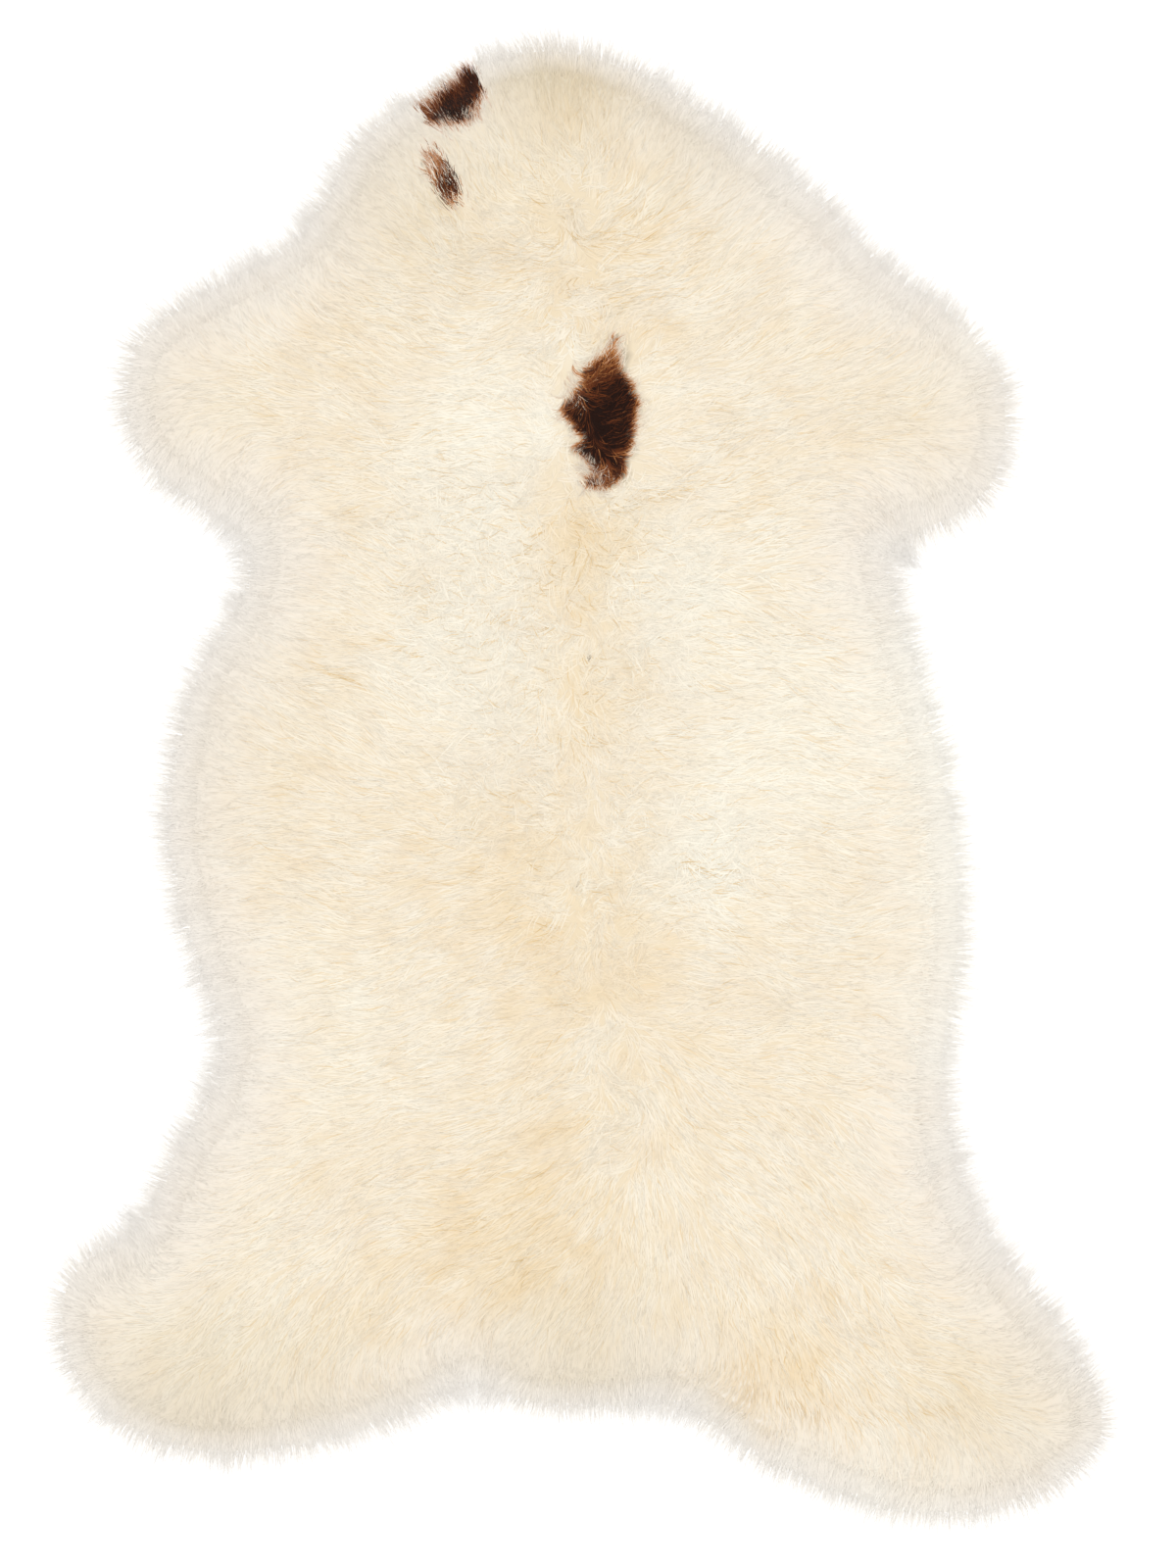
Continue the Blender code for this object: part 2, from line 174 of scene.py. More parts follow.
def read_grid(grid: Array, place: Array, ease: bool = False) -> Array:
    """Read a grid between its points.

    Args:
        grid: values, with their columns and rows as the first two axes.
        place: where to read, in steps of the grid, of shape (..., 2).
        ease: whether the value eases from one point of the grid to the next.

    Returns:
        The value at each place.
    """
    place = np.clip(place, 0.0, np.array(grid.shape[:2]) - 1.001)
    low = place.astype(int)
    part = place - low
    if ease:
        part = part * part * (3.0 - 2.0 * part)
    i, j = low[..., 0], low[..., 1]
    u, v = np.moveaxis(part, -1, 0)
    if grid.ndim == 3:
        u, v = u[..., None], v[..., None]
    near = grid[i, j] * (1 - u) + grid[i + 1, j] * u
    far = grid[i, j + 1] * (1 - u) + grid[i + 1, j + 1] * u
    return near * (1 - v) + far * v


@dataclass(frozen=True)
class Drift:
    """Smooth random variation over the plane, up to its strength to either side of 0.

    It changes over its size, and covers a square of its side round the origin.
    """

    size: float
    seed: int
    strength: float = 1.0
    side: float = 2.4

    def at(self, points: Array) -> Array:
        """Value at each point."""
        count = 2 + math.ceil(self.side / self.size)
        lattice = np.random.default_rng(self.seed).uniform(-1.0, 1.0, (count, count))
        return self.strength * read_grid(lattice, points / self.size + count / 2, ease=True)


# ------------------------------------------------------------------ form read from the solid
@dataclass
class Relief:
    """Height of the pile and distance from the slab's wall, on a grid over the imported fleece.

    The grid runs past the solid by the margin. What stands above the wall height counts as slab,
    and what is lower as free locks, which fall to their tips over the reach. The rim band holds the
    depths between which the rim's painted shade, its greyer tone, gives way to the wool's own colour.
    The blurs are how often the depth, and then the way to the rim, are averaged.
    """

    cell: float = 3.0 * MM
    margin: float = 36.0 * MM
    wall_height: float = 12.5 * MM
    reach: float = 22.0 * MM
    rim_band: Pair = mm(-14, 74)
    tip_height: float = 0.6 * MM
    depth_blur: int = 4
    outward_blur: int = 24
    origin: Array = field(init=False)
    height_map: Array = field(init=False)
    depth_map: Array = field(init=False)
    outward_map: Array = field(init=False)

    def __post_init__(self) -> None:
        """Read the grid from the fleece."""
        low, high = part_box("fleece")
        self.origin = np.array((low.x - self.margin, low.y - self.margin))
        size = np.array((high.x, high.y)) + self.margin - self.origin
        columns, rows = np.ceil(size / self.cell).astype(int) + 1
        top = self._cast(columns, rows, high.z + self.margin)
        slab = top > self.wall_height
        self.depth_map = self._blur(self._signed_distance(slab), self.depth_blur)
        smooth_depth = self._blur(self.depth_map, self.outward_blur)
        self.outward_map = unit(np.stack(np.gradient(-smooth_depth, self.cell), axis=-1))
        fall = np.clip(1.0 + self.depth_map / self.reach, 0.0, 1.0)
        lock_height = self.tip_height + (self.wall_height - self.tip_height) * fall
        self.height_map = self._blur(np.where(slab, top, lock_height), 1)

    def _cast(self, columns: int, rows: int, ceiling: float) -> Array:
        """Look down on the solid from every point of the grid.

        Args:
            columns: points of the grid along X.
            rows: points of the grid along Y.
            ceiling: height to look down from.

        Returns:
            Height of the solid under each point, and 0 beside it.
        """
        shape = packed_shape("fleece")
        tree = BVHTree.FromBMesh(shape)
        shape.free()
        down = Vector((0.0, 0.0, -1.0))
        heights = np.zeros((columns, rows))
        for i in range(columns):
            x = self.origin[0] + i * self.cell
            for j in range(rows):
                hit = tree.ray_cast(Vector((x, self.origin[1] + j * self.cell, ceiling)), down)[0]
                if hit is not None:
                    heights[i, j] = hit.z
        return heights

    def _signed_distance(self, inside: Array) -> Array:
        """Measure how far each point of the grid is from the edge of a mask.

        Args:
            inside: the mask.

        Returns:
            The distances, positive inside the mask.
        """
        across = inside[1:, :] != inside[:-1, :]
        along = inside[:, 1:] != inside[:, :-1]
        edge = np.concatenate((np.argwhere(across) + (0.5, 0.0), np.argwhere(along) + (0.0, 0.5)))
        tree = search_tree(edge)
        distance = np.array([[tree.find((i, j, 0.0))[2] for j in range(inside.shape[1])]
                             for i in range(inside.shape[0])]) * self.cell
        return np.where(inside, distance, -distance)

    @staticmethod
    def _blur(grid: Array, times: int) -> Array:
        """The grid, averaged with its neighbours that many times."""
        for _ in range(times):
            wide = np.pad(grid, 1, mode="edge")
            grid = (wide[:-2, 1:-1] + wide[2:, 1:-1] + wide[1:-1, :-2] + wide[1:-1, 2:]
                    + 4.0 * wide[1:-1, 1:-1]) / 8.0
        return grid

    def _sample(self, grid: Array, points: Array) -> Array:
        """The grid's value at each point."""
        return read_grid(grid, (points - self.origin) / self.cell)

    def height(self, points: Array) -> Array:
        """Height of the pile's top at each point."""
        return self._sample(self.height_map, points)

    def depth(self, points: Array) -> Array:
        """How far each point is inside the slab's wall, negative outside it."""
        return self._sample(self.depth_map, points)

    def outward(self, points: Array) -> Array:
        """Unit direction to the rim at each point."""
        return unit(self._sample(self.outward_map, points))

    def rim(self, points: Array) -> Array:
        """How near each point is to the rim: 1 past the wall, falling to 0 well inside it."""
        return 1.0 - smooth_step(*self.rim_band, self.depth(points))

    def inner_points(self, spacing: float, least_depth: float, seed: int) -> Array:
        """Scatter points over the slab, one in each square of the spacing.

        Args:
            spacing: side of the squares.
            least_depth: how far inside the wall the points stay.
            seed: seed of the scatter.

        Returns:
            Array of shape (count, 2).
        """
        rng = np.random.default_rng(seed)
        size = np.array(self.depth_map.shape) * self.cell
        columns, rows = np.ceil(size / spacing).astype(int)
        i, j = np.meshgrid(np.arange(columns), np.arange(rows), indexing="ij")
        squares = np.stack((i.ravel(), j.ravel()), axis=-1)
        points = self.origin + (squares + rng.uniform(0.0, 1.0, squares.shape)) * spacing
        return points[self.depth(points) > least_depth]


@dataclass(frozen=True)
class Spot:
    """A round patch where something is stronger, fading out over its radius, in millimetres."""

    name: str
    x: float
    y: float
    radius: float
    strength: float

    def at(self, points: Array) -> Array:
        """Its strength at each point."""
        return self.strength * fading(points / MM - (self.x, self.y), self.radius)


def spots_at(spots: tuple[Spot, ...], points: Array) -> Array:
    """Sum of the spots' strengths at each point."""
    return sum(spot.at(points) for spot in spots)


@dataclass(frozen=True)
class Guide:
    """A place where the wool is combed in a known direction, with its sizes in millimetres.

    The angle is in degrees, anticlockwise from +X, and the pull is the guide's weight against the
    direction away from the back.
    """

    name: str
    x: float
    y: float
    angle: float
    reach: float = 52.0
    pull: float = 2.2

    def at(self, points: Array) -> Array:
        """Its pull at each point, in its direction."""
        way = np.array((math.cos(math.radians(self.angle)), math.sin(math.radians(self.angle))))
        return self.pull * fading(points / MM - (self.x, self.y), self.reach)[..., None] * way


@dataclass(frozen=True)
class Lie:
    """The direction in which the wool lies.

    It lies away from a line along the back, whose corners run from the neck to the rump, follows
    the guides and wanders a little. Between two depths inside the wall it turns outwards and grows
    calmer. As it settles on the line itself it lies towards the tail, and it is tangled round there.
    """

    relief: Relief
    back: tuple[Pair, ...] = (
        (-0.010, 0.405), (-0.008, 0.200), (-0.002, 0.026), (0.002, -0.072), (0.012, -0.159),
        (0.033, -0.257),
    )
    guides: tuple[Guide, ...] = table(
        Guide,
        ("crown", -13, 480, 90), ("crown_left", -60, 450, 108), ("crown_right", 45, 460, 72),
        ("neck_left_front", -165, 418, 140), ("neck_left", -222, 362, 150),
        ("neck_left_inner", -174, 313, 157), ("foreleg_left_top", -279, 306, 167),
        ("foreleg_left", -279, 236, 187), ("foreleg_left_low", -230, 205, 197),
        ("neck_right_front", 86, 411, 53), ("neck_right", 141, 376, 45),
        ("neck_right_low", 197, 327, 34), ("shoulder_right", 141, 292, 24),
        ("foreleg_right_top", 246, 306, 28), ("foreleg_right", 246, 236, 12),
        ("shoulder_right_low", 141, 222, 14), ("foreleg_right_low", 266, 194, -4),
        ("flank_left", -250, 60, 166), ("rib_left", -160, 50, 158), ("flank_left_low", -230, -90, 174),
        ("rib_right", 150, 60, 348), ("flank_right", 240, -50, 4), ("loin_right", 150, -142, 350),
        ("loin_left", -139, -170, 186), ("hip_left", -139, -233, 196), ("thigh_left", -139, -303, 204),
        ("rump_left", -34, -268, 212), ("rump_left_low", -34, -338, 223),
        ("thigh_left_low", -139, -373, 230), ("tail_left", -69, -408, 246),
        ("leg_left_top", -300, -330, 205), ("leg_left", -314, -400, 228),
        ("leg_left_low", -244, -408, 256), ("rump_right", 60, -233, 290),
        ("rump_right_low", 71, -338, 280), ("hip_right", 141, -268, 312),
        ("flank_right_low", 211, -219, 328), ("thigh_right", 141, -352, 296),
        ("thigh_right_outer", 197, -310, 308), ("tail_right", 71, -422, 272),
        ("leg_right_top", 281, -380, 345), ("leg_right", 330, -440, 328),
        ("leg_right_low", 246, -499, 276), ("patch_top", 22, 305, 78, 14, 8),
        ("patch_top_right", 36, 280, 38, 12, 7), ("patch_right", 40, 250, 12, 14, 6),
        ("patch_upper_left", -10, 290, 118, 14, 7), ("patch_left", -22, 262, 160, 14, 7),
        ("patch_lower_left", -12, 232, 215, 13, 6), ("patch_bottom", 14, 214, 262, 12, 6),
        ("neck_patch", -100, 485, 122, 26, 5), ("neck_patch_low", -102, 432, 120, 20, 5),
    )
    rim_turn: float = 60.0 * MM
    rim_full: float = 2.0 * MM
    rim_calm: float = 0.4
    wander: float = math.radians(24.0)
    wander_wide: Drift = Drift(0.070, 3, 0.6)
    wander_fine: Drift = Drift(0.024, 4, 0.7)
    settle: float = 15.0 * MM
    settle_wander: Drift = Drift(0.020, 8, math.radians(120.0))
    tangles: tuple[Spot, ...] = table(
        Spot,
        ("neck_left", -90, 365, 45, 0.35), ("neck", -12, 380, 40, 0.45),
        ("neck_front", -12, 430, 30, 0.45), ("patch", 6, 262, 45, 0.6),
        ("withers_front", 0, 205, 30, 0.6), ("withers_left", -95, 185, 45, 0.6),
        ("withers", -20, 160, 45, 0.8), ("withers_right", 55, 150, 35, 0.6),
        ("withers_low", -75, 110, 45, 0.8), ("back_front", -8, 90, 40, 0.9),
        ("back_right_front", 50, 85, 30, 0.4), ("back", -30, 35, 45, 0.8),
        ("back_spine", 0, -10, 35, 0.8), ("back_left", -65, -18, 30, 0.6),
        ("back_right", 80, -50, 32, 1), ("loin_front", 4, -60, 32, 0.8), ("loin", 8, -115, 30, 0.7),
        ("rump", 14, -160, 26, 0.6), ("hip_right", 225, -310, 40, 0.3),
    )

    def base(self, points: Array) -> tuple[Array, Array]:
        """Find the way away from the back.

        Args:
            points: array of shape (..., 2).

        Returns:
            Unit direction away from the back at each point, and the distance from it.
        """
        corners = np.array(self.back)
        nearest = np.full(points.shape[:-1], np.inf)
        away = np.zeros(points.shape)
        for front, rear in zip(corners[:-1], corners[1:]):
            offset = from_line(points, front, rear)
            distance = np.linalg.norm(offset, axis=-1)
            closer = distance < nearest
            nearest = np.where(closer, distance, nearest)
            away = np.where(closer[..., None], offset, away)
        return unit(away), nearest

    def tangled(self, points: Array) -> Array:
        """How tangled the wool is at each point, from 0 to 1."""
        return np.clip(spots_at(self.tangles, points), 0.0, 1.0)

    def direction(self, points: Array) -> Array:
        """Find the way that the wool lies.

        Args:
            points: array of shape (..., 2).

        Returns:
            Unit direction at each point.
        """
        turn = (1.0 - smooth_step(self.rim_full, self.rim_turn, self.relief.depth(points)))[..., None]
        away, distance = self.base(points)
        way = unit(sum((guide.at(points) for guide in self.guides), away))
        near = np.exp(-(distance / self.settle) ** 2)[..., None]
        astern = np.broadcast_to(np.array((0.0, -1.0)), points.shape)
        astern = turned(astern, self.settle_wander.at(points))
        way = (way * (1.0 - near) + astern * near) * (1.0 - turn) + self.relief.outward(points) * turn
        angle = self.wander * (self.wander_wide.at(points) + self.wander_fine.at(points))
        return turned(unit(way), angle * (1.0 - self.rim_calm * turn[..., 0]))


# ------------------------------------------------------------------ markings
@dataclass(frozen=True)
class Parting:
    """A short line where the wool parts, drawn as a painted shadow line, in millimetres."""

    name: str
    x1: float
    y1: float
    x2: float
    y2: float
    width: float

    def at(self, points: Array) -> Array:
        """How strongly each point lies in it, from 0 to 1."""
        ends = np.array((self.x1, self.y1)), np.array((self.x2, self.y2))
        return fading(from_line(points / MM, *ends), self.width)


@dataclass(frozen=True)
class Markings:
    """Where the wool is warmer, paler, darker, parted or pigmented, in named places, and where painted
    light and painted shadow streaks go.
    """

    warm: tuple[Spot, ...] = table(
        Spot,
        ("crown", -6, 500, 52, 1), ("neck", 4, 365, 75, 0.4), ("withers", 2, 160, 42, 1),
        ("back", 2, 60, 42, 0.55), ("back_left", -58, -62, 66, 0.33), ("loin", 0, -100, 70, 0.42),
        ("rump_left", -55, -318, 65, 0.65), ("rump", 30, -240, 120, 0.2),
        ("right_thigh", 122, -432, 52, 1), ("right_leg", 255, -420, 75, 0.2),
        ("left_thigh", -160, -405, 60, 0.42), ("left_side", -255, -55, 50, 0.15),
        ("left_shoulder", -184, 321, 60, 0.16),
    )
    pale: tuple[Spot, ...] = table(
        Spot,
        ("neck_middle", -30, 432, 40, 0.3), ("left_withers", -80, 250, 55, 0.9),
        ("back_middle", 4, -70, 34, 0.45), ("patch_halo", -26, 252, 16, 0.9),
        ("patch_halo_front", -10, 298, 12, 0.7), ("patch_right", 56, 270, 18, 0.6),
        ("left_back", -70, 165, 40, 0.6), ("left_rib", -85, 68, 55, 0.8),
        ("right_withers", 70, 138, 60, 0.8), ("right_rib", 125, 10, 75, 0.75),
        ("right_back", 85, -58, 45, 0.8), ("right_side", 190, 80, 70, 0.45),
        ("right_flank", 200, -150, 75, 0.12), ("left_loin", -185, -180, 70, 0.4),
        ("left_leg", -330, -370, 35, 0.45), ("left_hip", -240, -370, 45, 0.4),
        ("right_leg", 270, -385, 45, 0.12), ("rump_right", 70, -311, 50, 0.22),
        ("right_thigh", 118, -428, 40, 0.14),
    )
    dull: tuple[Spot, ...] = table(
        Spot,
        ("crown_edge", -20, 520, 60, 0.84), ("crown_right", 85, 470, 55, 0.35),
        ("crown_left", -130, 420, 70, 0.32), ("tail", 0, -435, 80, 0.5),
        ("rump_left_low", -175, -430, 55, 0.2), ("left_leg_low", -280, -450, 78, 0.5),
        ("right_leg_low", 300, -455, 80, 0.25), ("right_foreleg", 245, 260, 60, 0.12),
        # the left flank and left rib spots: painted shade, darker on the left side, away from the light
        ("left_foreleg", -290, 260, 60, 0.12), ("left_flank", -262, 0, 60, 0.1),
        ("left_rib", -255, 90, 55, 0.06),
    )
    # painted light: where light falls on the rim, on the right and at the bottom, it is painted paler
    painted_light_rim: tuple[Spot, ...] = table(
        Spot,
        ("right_rib", 255, 70, 80, 0.9), ("right_flank", 262, -50, 80, 0.95),
        ("right_loin", 258, -180, 70, 0.7), ("right_leg_low", 215, -495, 70, 0.55),
        ("right_foreleg", 290, 300, 60, 0.35),
    )
    # painted shadow: where the warm shadow streaks between the locks grow denser
    shadow_streaked: tuple[Spot, ...] = table(
        Spot,
        ("neck", 0, 370, 60, 0.45), ("neck_left", -110, 350, 50, 0.3),
        ("withers_left", -90, 195, 50, 0.45), ("withers", -10, 165, 45, 0.45),
        ("shoulder_right", 85, 230, 50, 0.35), ("back_left", -70, 120, 50, 0.4),
        ("back", 0, 50, 50, 0.3), ("rib_right", 150, 90, 70, 0.2), ("back_right", 85, -55, 35, 0.35),
        ("thigh_right", 150, -440, 60, 0.3), ("tail", -80, -400, 50, 0.2),
    )
    # partings: drawn as painted shadow lines by the shadow streaks
    partings: tuple[Parting, ...] = table(
        Parting,
        ("withers_left_1", -138, 138, -94, 130, 2), ("withers_left_2", -90, 121, -44, 112, 2),
        ("shoulder_left", -119, 214, -98, 222, 1.6), ("back_left", -83, -8, -42, -22, 2.2),
        ("rib_right", 64, 40, 78, 26, 1.8), ("back_right_1", 70, -58, 104, -64, 2),
        ("back_right_2", 92, -76, 116, -70, 1.6), ("neck_1", 0, 396, 38, 398, 1.6),
        ("neck_2", 40, 398, 72, 408, 1.6), ("neck_3", -12, 382, 22, 384, 1.6),
        ("shoulder_right", 42, 198, 110, 214, 1.6), ("withers_right", 20, 192, 46, 202, 1.6),
        ("back_low_left", -62, 104, -28, 108, 1.8), ("rib_left_1", -190, 78, -160, 70, 1.6),
        ("rib_left_2", -150, 100, -118, 88, 1.6), ("leg_right_1", 190, -452, 262, -444, 2.2),
        ("leg_right_2", 120, -440, 170, -452, 2.2), ("rump_notch", -110, -388, -98, -386, 2),
    )

    def parted(self, points: Array) -> Array:
        """How strongly each point lies in a parting, from 0 to 1."""
        return np.max([part.at(points) for part in self.partings], axis=0)

    def rim_painted_light(self, points: Array) -> Array:
        """How much painted light falls on the rim at each point, from 0 to 1."""
        return np.clip(spots_at(self.painted_light_rim, points), 0.0, 1.0)


@dataclass(frozen=True)
class BrownPatch:
    """A patch of naturally brown wool, with its sizes in millimetres.

    The edge holds the corners of its outline, and the strands there stray by the ragged size. It
    bleaches over one distance inside the outline, and fades to cream over another outside it. The
    mixed share of the cream strands grows through it. It is bleached further in at the light
    places, and white hairs mix with it at the grey ones.
    """

    name: str
    edge: tuple[Pair, ...]
    ragged: float
    bleach: float
    fade: float
    mixed: float
    light: tuple[Spot, ...] = ()
    grey: tuple[Spot, ...] = ()

    def depth(self, points: Array) -> Array:
        """Measure how far inside the outline each point is.

        Args:
            points: array of shape (..., 2), in metres.

        Returns:
            The depths in millimetres, negative outside the outline.
        """
        points = points / MM
        corners = np.array(self.edge, float)
        nearest = np.full(points.shape[:-1], np.inf)
        crossings = np.zeros(points.shape[:-1], int)
        for start, end in zip(corners, np.roll(corners, -1, axis=0)):
            nearest = np.minimum(nearest, np.linalg.norm(from_line(points, start, end), axis=-1))
            spans = (start[1] > points[..., 1]) != (end[1] > points[..., 1])
            run, rise = end - start
            meets = start[0] + (points[..., 1] - start[1]) * run / (rise or 1e-9)
            crossings += spans & (points[..., 0] < meets)
        return np.where(crossings % 2 == 1, nearest, -nearest)


BROWN_PATCHES = (
    BrownPatch(
        "neck_edge", (
            (-121, 480), (-112, 486), (-102, 493), (-92, 501), (-86, 510), (-80, 509), (-74, 502),
            (-74, 491), (-79, 481), (-81, 470), (-90, 467), (-100, 467), (-108, 468), (-116, 472),
        ), ragged=3.2, bleach=3.5, fade=7, mixed=0.005,
        light=table(
            Spot,
            ("tips", -113, 485, 9, 0.34), ("tips_front", -95, 502, 8, 0.34),
            ("left", -114, 476, 6, 0.3), ("middle", -91, 489, 10, 0.13),
        ),
        grey=table(
            Spot,
            ("low", -99, 465, 6, 0.45), ("low_right", -81, 471, 6, 0.5),
        ),
    ),
    BrownPatch(
        "neck", (
            (-115, 443), (-107, 448), (-99, 438), (-92, 426), (-89, 414), (-94, 412), (-99, 404),
            (-105, 413), (-111, 427),
        ), ragged=5, bleach=3, fade=8, mixed=0.26,
        light=table(
            Spot,
            ("tips", -110, 439, 14, 0.7), ("foot", -101, 408, 9, 0.4), ("left", -109, 424, 7, 0.4),
        ),
        grey=table(
            Spot,
            ("middle", -99, 429, 6, 0.1), ("foot", -99, 409, 8, 0.15),
        ),
    ),
    BrownPatch(
        "back", (
            (18, 314), (23, 312), (25, 304), (26, 290), (33, 280), (39, 266), (36, 251), (34, 238),
            (30, 226), (29, 214), (16, 204), (1, 205), (-3, 210), (3, 218), (-2, 226), (-12, 233),
            (-5, 240), (-12, 251), (-21, 261), (-15, 268), (-6, 279), (-2, 292), (10, 300),
        ), ragged=1.8, bleach=6, fade=2.2, mixed=0,
        light=table(
            Spot,
            ("point", 21, 306, 10, 0.62), ("wedge", 12, 292, 11, 0.34),
            ("upper_left", -3, 277, 13, 0.38), ("left_point", -17, 261, 6, 0.3),
            ("fold_left", -4, 243, 5, 0.36), ("fold", 8, 234, 5, 0.34),
            ("fold_right", 24, 230, 5, 0.28), ("bottom", 14, 215, 11, 0.42),
            ("right_edge", 37, 257, 7, 0.3),
        ),
        grey=table(
            Spot,
            ("upper_left", -11, 273, 8, 0.35), ("bottom_left", -5, 222, 8, 0.75),
            ("bottom", 8, 211, 10, 0.28),
        ),
    ),
)


# ------------------------------------------------------------------ finishes
class NodeBench:
    """Short hand for building one material's nodes."""

    def __init__(self, name: str) -> None:
        """Start a material with only its shader and its output."""
        self.material = bpy.data.materials.new(name)
        self.material.use_nodes = True
        self.tree = self.material.node_tree
        self.shader = self.tree.nodes["Principled BSDF"].inputs

    def add(self, kind: str, **settings: object) -> bpy.types.Node:
        """A new node of that kind, with its properties set."""
        node = self.tree.nodes.new(kind)
        for key, value in settings.items():
            setattr(node, key, value)
        return node

    def put(self, socket: Socket, value: object) -> None:
        """Link a socket to another one, or set its value."""
        if isinstance(value, Socket):
            self.tree.links.new(value, socket)
        else:
            socket.default_value = value.linear() if isinstance(value, Shade) else value

    def measure(self, name: str) -> Socket:
        """A value that is kept on the mesh under that name."""
        return self.add("ShaderNodeAttribute", attribute_name=name).outputs["Fac"]

    def reckon(self, operation: str, first: object, second: object, clamp: bool = False) -> Socket:
        """Do one step of arithmetic.

        Args:
            operation: its name in the shader.
            first: the number or socket that it starts from.
            second: the number or socket that it takes to it.
            clamp: whether the result is kept between 0 and 1.

        Returns:
            The result.
        """
        node = self.add("ShaderNodeMath", operation=operation, use_clamp=clamp)
        self.put(node.inputs[0], first)
        self.put(node.inputs[1], second)
        return node.outputs[0]

    def blend(self, share: object, first: object, second: object) -> Socket:
        """Blend two colours.

        Args:
            share: share of the second colour.
            first: a colour, as a shade or a socket.
            second: the other colour.

        Returns:
            The blended colour.
        """
        node = self.add("ShaderNodeMix", data_type="RGBA")
        for socket, value in zip((node.inputs["Factor"], node.inputs[6], node.inputs[7]),
                                 (share, first, second)):
            self.put(socket, value)
        return node.outputs[2]

    def ramp(self, share: object, *stops: tuple[float, Shade]) -> Socket:
        """Run through a row of colours.

        Args:
            share: place in the row, from 0 to 1.
            stops: place and shade of each colour, in order.

        Returns:
            The colour at that place.
        """
        node = self.add("ShaderNodeValToRGB")
        self.put(node.inputs["Fac"], share)
        steps = node.color_ramp.elements
        steps[0].position, steps[1].position = stops[0][0], stops[-1][0]
        for place, _ in stops[1:-1]:
            steps.new(place)
        for step, (_, shade) in zip(steps, stops):
            step.color = shade.linear()
        return node.outputs["Color"]

    def grain(self, scale: float, detail: float, rough: float = 0.55) -> Socket:
        """Make noise over the piece's own coordinates.

        Args:
            scale: how many of its swells go in a metre.
            detail: how many finer layers it has.
            rough: how strong the finer layers are.

        Returns:
            The noise, of about 0 to 1.
        """
        stretch = self.add("ShaderNodeMapping")
        self.put(stretch.inputs["Vector"], self.add("ShaderNodeTexCoord").outputs["Object"])
        self.put(stretch.inputs["Scale"], (scale, scale, scale))
        noise = self.add("ShaderNodeTexNoise")
        for name, value in (("Vector", stretch.outputs[0]), ("Scale", 1.0), ("Detail", detail),
                            ("Roughness", rough)):
            self.put(noise.inputs[name], value)
        return noise.outputs["Fac"]

    def mottled(self, name: str, noise: Socket, strength: float) -> Socket:
        """Make a value from the mesh uneven.

        Args:
            name: name of the value on the mesh.
            noise: what makes it uneven, of about 0 to 1.
            strength: how uneven it gets.

        Returns:
            The uneven value, from 0 to 1.
        """
        swing = self.reckon("MULTIPLY", self.reckon("SUBTRACT", noise, 0.5), strength)
        return self.reckon("ADD", self.measure(name), swing, clamp=True)


@dataclass(frozen=True)
class Finish:
    """One material: its plain numbers, and in each kind of finish the way that it is painted."""

    name: str
    roughness: float
    specular: float = 0.10
    sheen: float = 0.0
    sheen_roughness: float = 0.5

    def paint(self, bench: NodeBench) -> None:
        """Build the nodes that give the material its colour."""
        raise NotImplementedError

    def material(self) -> Material:
        """Build the material.

        Returns:
            The material.
        """
        bench = NodeBench(self.name)
        bench.shader["Roughness"].default_value = self.roughness
        bench.shader["Specular IOR Level"].default_value = self.specular
        bench.shader["Sheen Weight"].default_value = self.sheen
        bench.shader["Sheen Roughness"].default_value = self.sheen_roughness
        self.paint(bench)
        return bench.material


@dataclass(frozen=True)
class WoolFinish(Finish):
    """Cream wool: warmer in the warm places and in its painted shade deep in the pile, paler at the
    tips and in the pale ones, with the rim's painted shade and painted light on thin wool mixed in.

    The mottling is how uneven its warmth is. A sheer finish lets the ground show through the free
    tips, and the more its gain, the later along the tips that begins.
    """

    name: str = "cream_wool"
    roughness: float = 0.92
    sheen: float = 0.06
    grain: float = 40.0
    mottling: float = 0.55
    sheer: float = 0.0
    sheer_gain: float = 1.6

    def paint(self, bench: NodeBench) -> None:
        """Read warmth, pale, the rim's painted shade, fawn, painted light on thin wool and brown from the
        mesh.

        Args:
            bench: where the material is made.
        """
        warmth = bench.mottled("warmth", bench.grain(self.grain, 3.0), self.mottling)
        colour = bench.ramp(warmth, (0.0, Shade.CREAM), (0.60, Shade.PEACH), (1.0, Shade.HONEY))
        for name, shade in (("pale", Shade.IVORY), ("pearl", Shade.PEARL), ("fawn", Shade.FAWN),
                            ("snow", Shade.SNOW), ("brown", Shade.UMBER)):
            colour = bench.blend(bench.measure(name), colour, shade)
        bench.put(bench.shader["Base Color"], colour)
        if self.sheer:
            free = bench.reckon("MULTIPLY", bench.measure("snow"), self.sheer_gain)
            thin = bench.reckon("SUBTRACT", free, self.sheer_gain - 1.0, clamp=True)
            cover = bench.reckon("SUBTRACT", 1.0, bench.reckon("MULTIPLY", thin, self.sheer))
            bench.put(bench.shader["Alpha"], cover)


@dataclass(frozen=True)
class BrownWoolFinish(Finish):
    """Brown wool: umber in the middle of a patch, then chestnut, ginger and cream at its edge."""

    name: str = "brown_wool"
    roughness: float = 0.80
    specular: float = 0.14
    sheen_roughness: float = 0.4
    grain: float = 220.0
    mottling: float = 0.16

    def paint(self, bench: NodeBench) -> None:
        """Read bleach, grey and the rim's painted shade from the mesh.

        Args:
            bench: where the material is made.
        """
        bleach = bench.mottled("bleach", bench.grain(self.grain, 2.0), self.mottling)
        colour = bench.ramp(bleach, (0.10, Shade.UMBER), (0.42, Shade.CHESTNUT), (0.72, Shade.GINGER),
                            (1.0, Shade.CREAM))
        for name, shade in (("pearl", Shade.PEARL), ("grey", Shade.ASH)):
            colour = bench.blend(bench.measure(name), colour, shade)
        bench.put(bench.shader["Base Color"], colour)


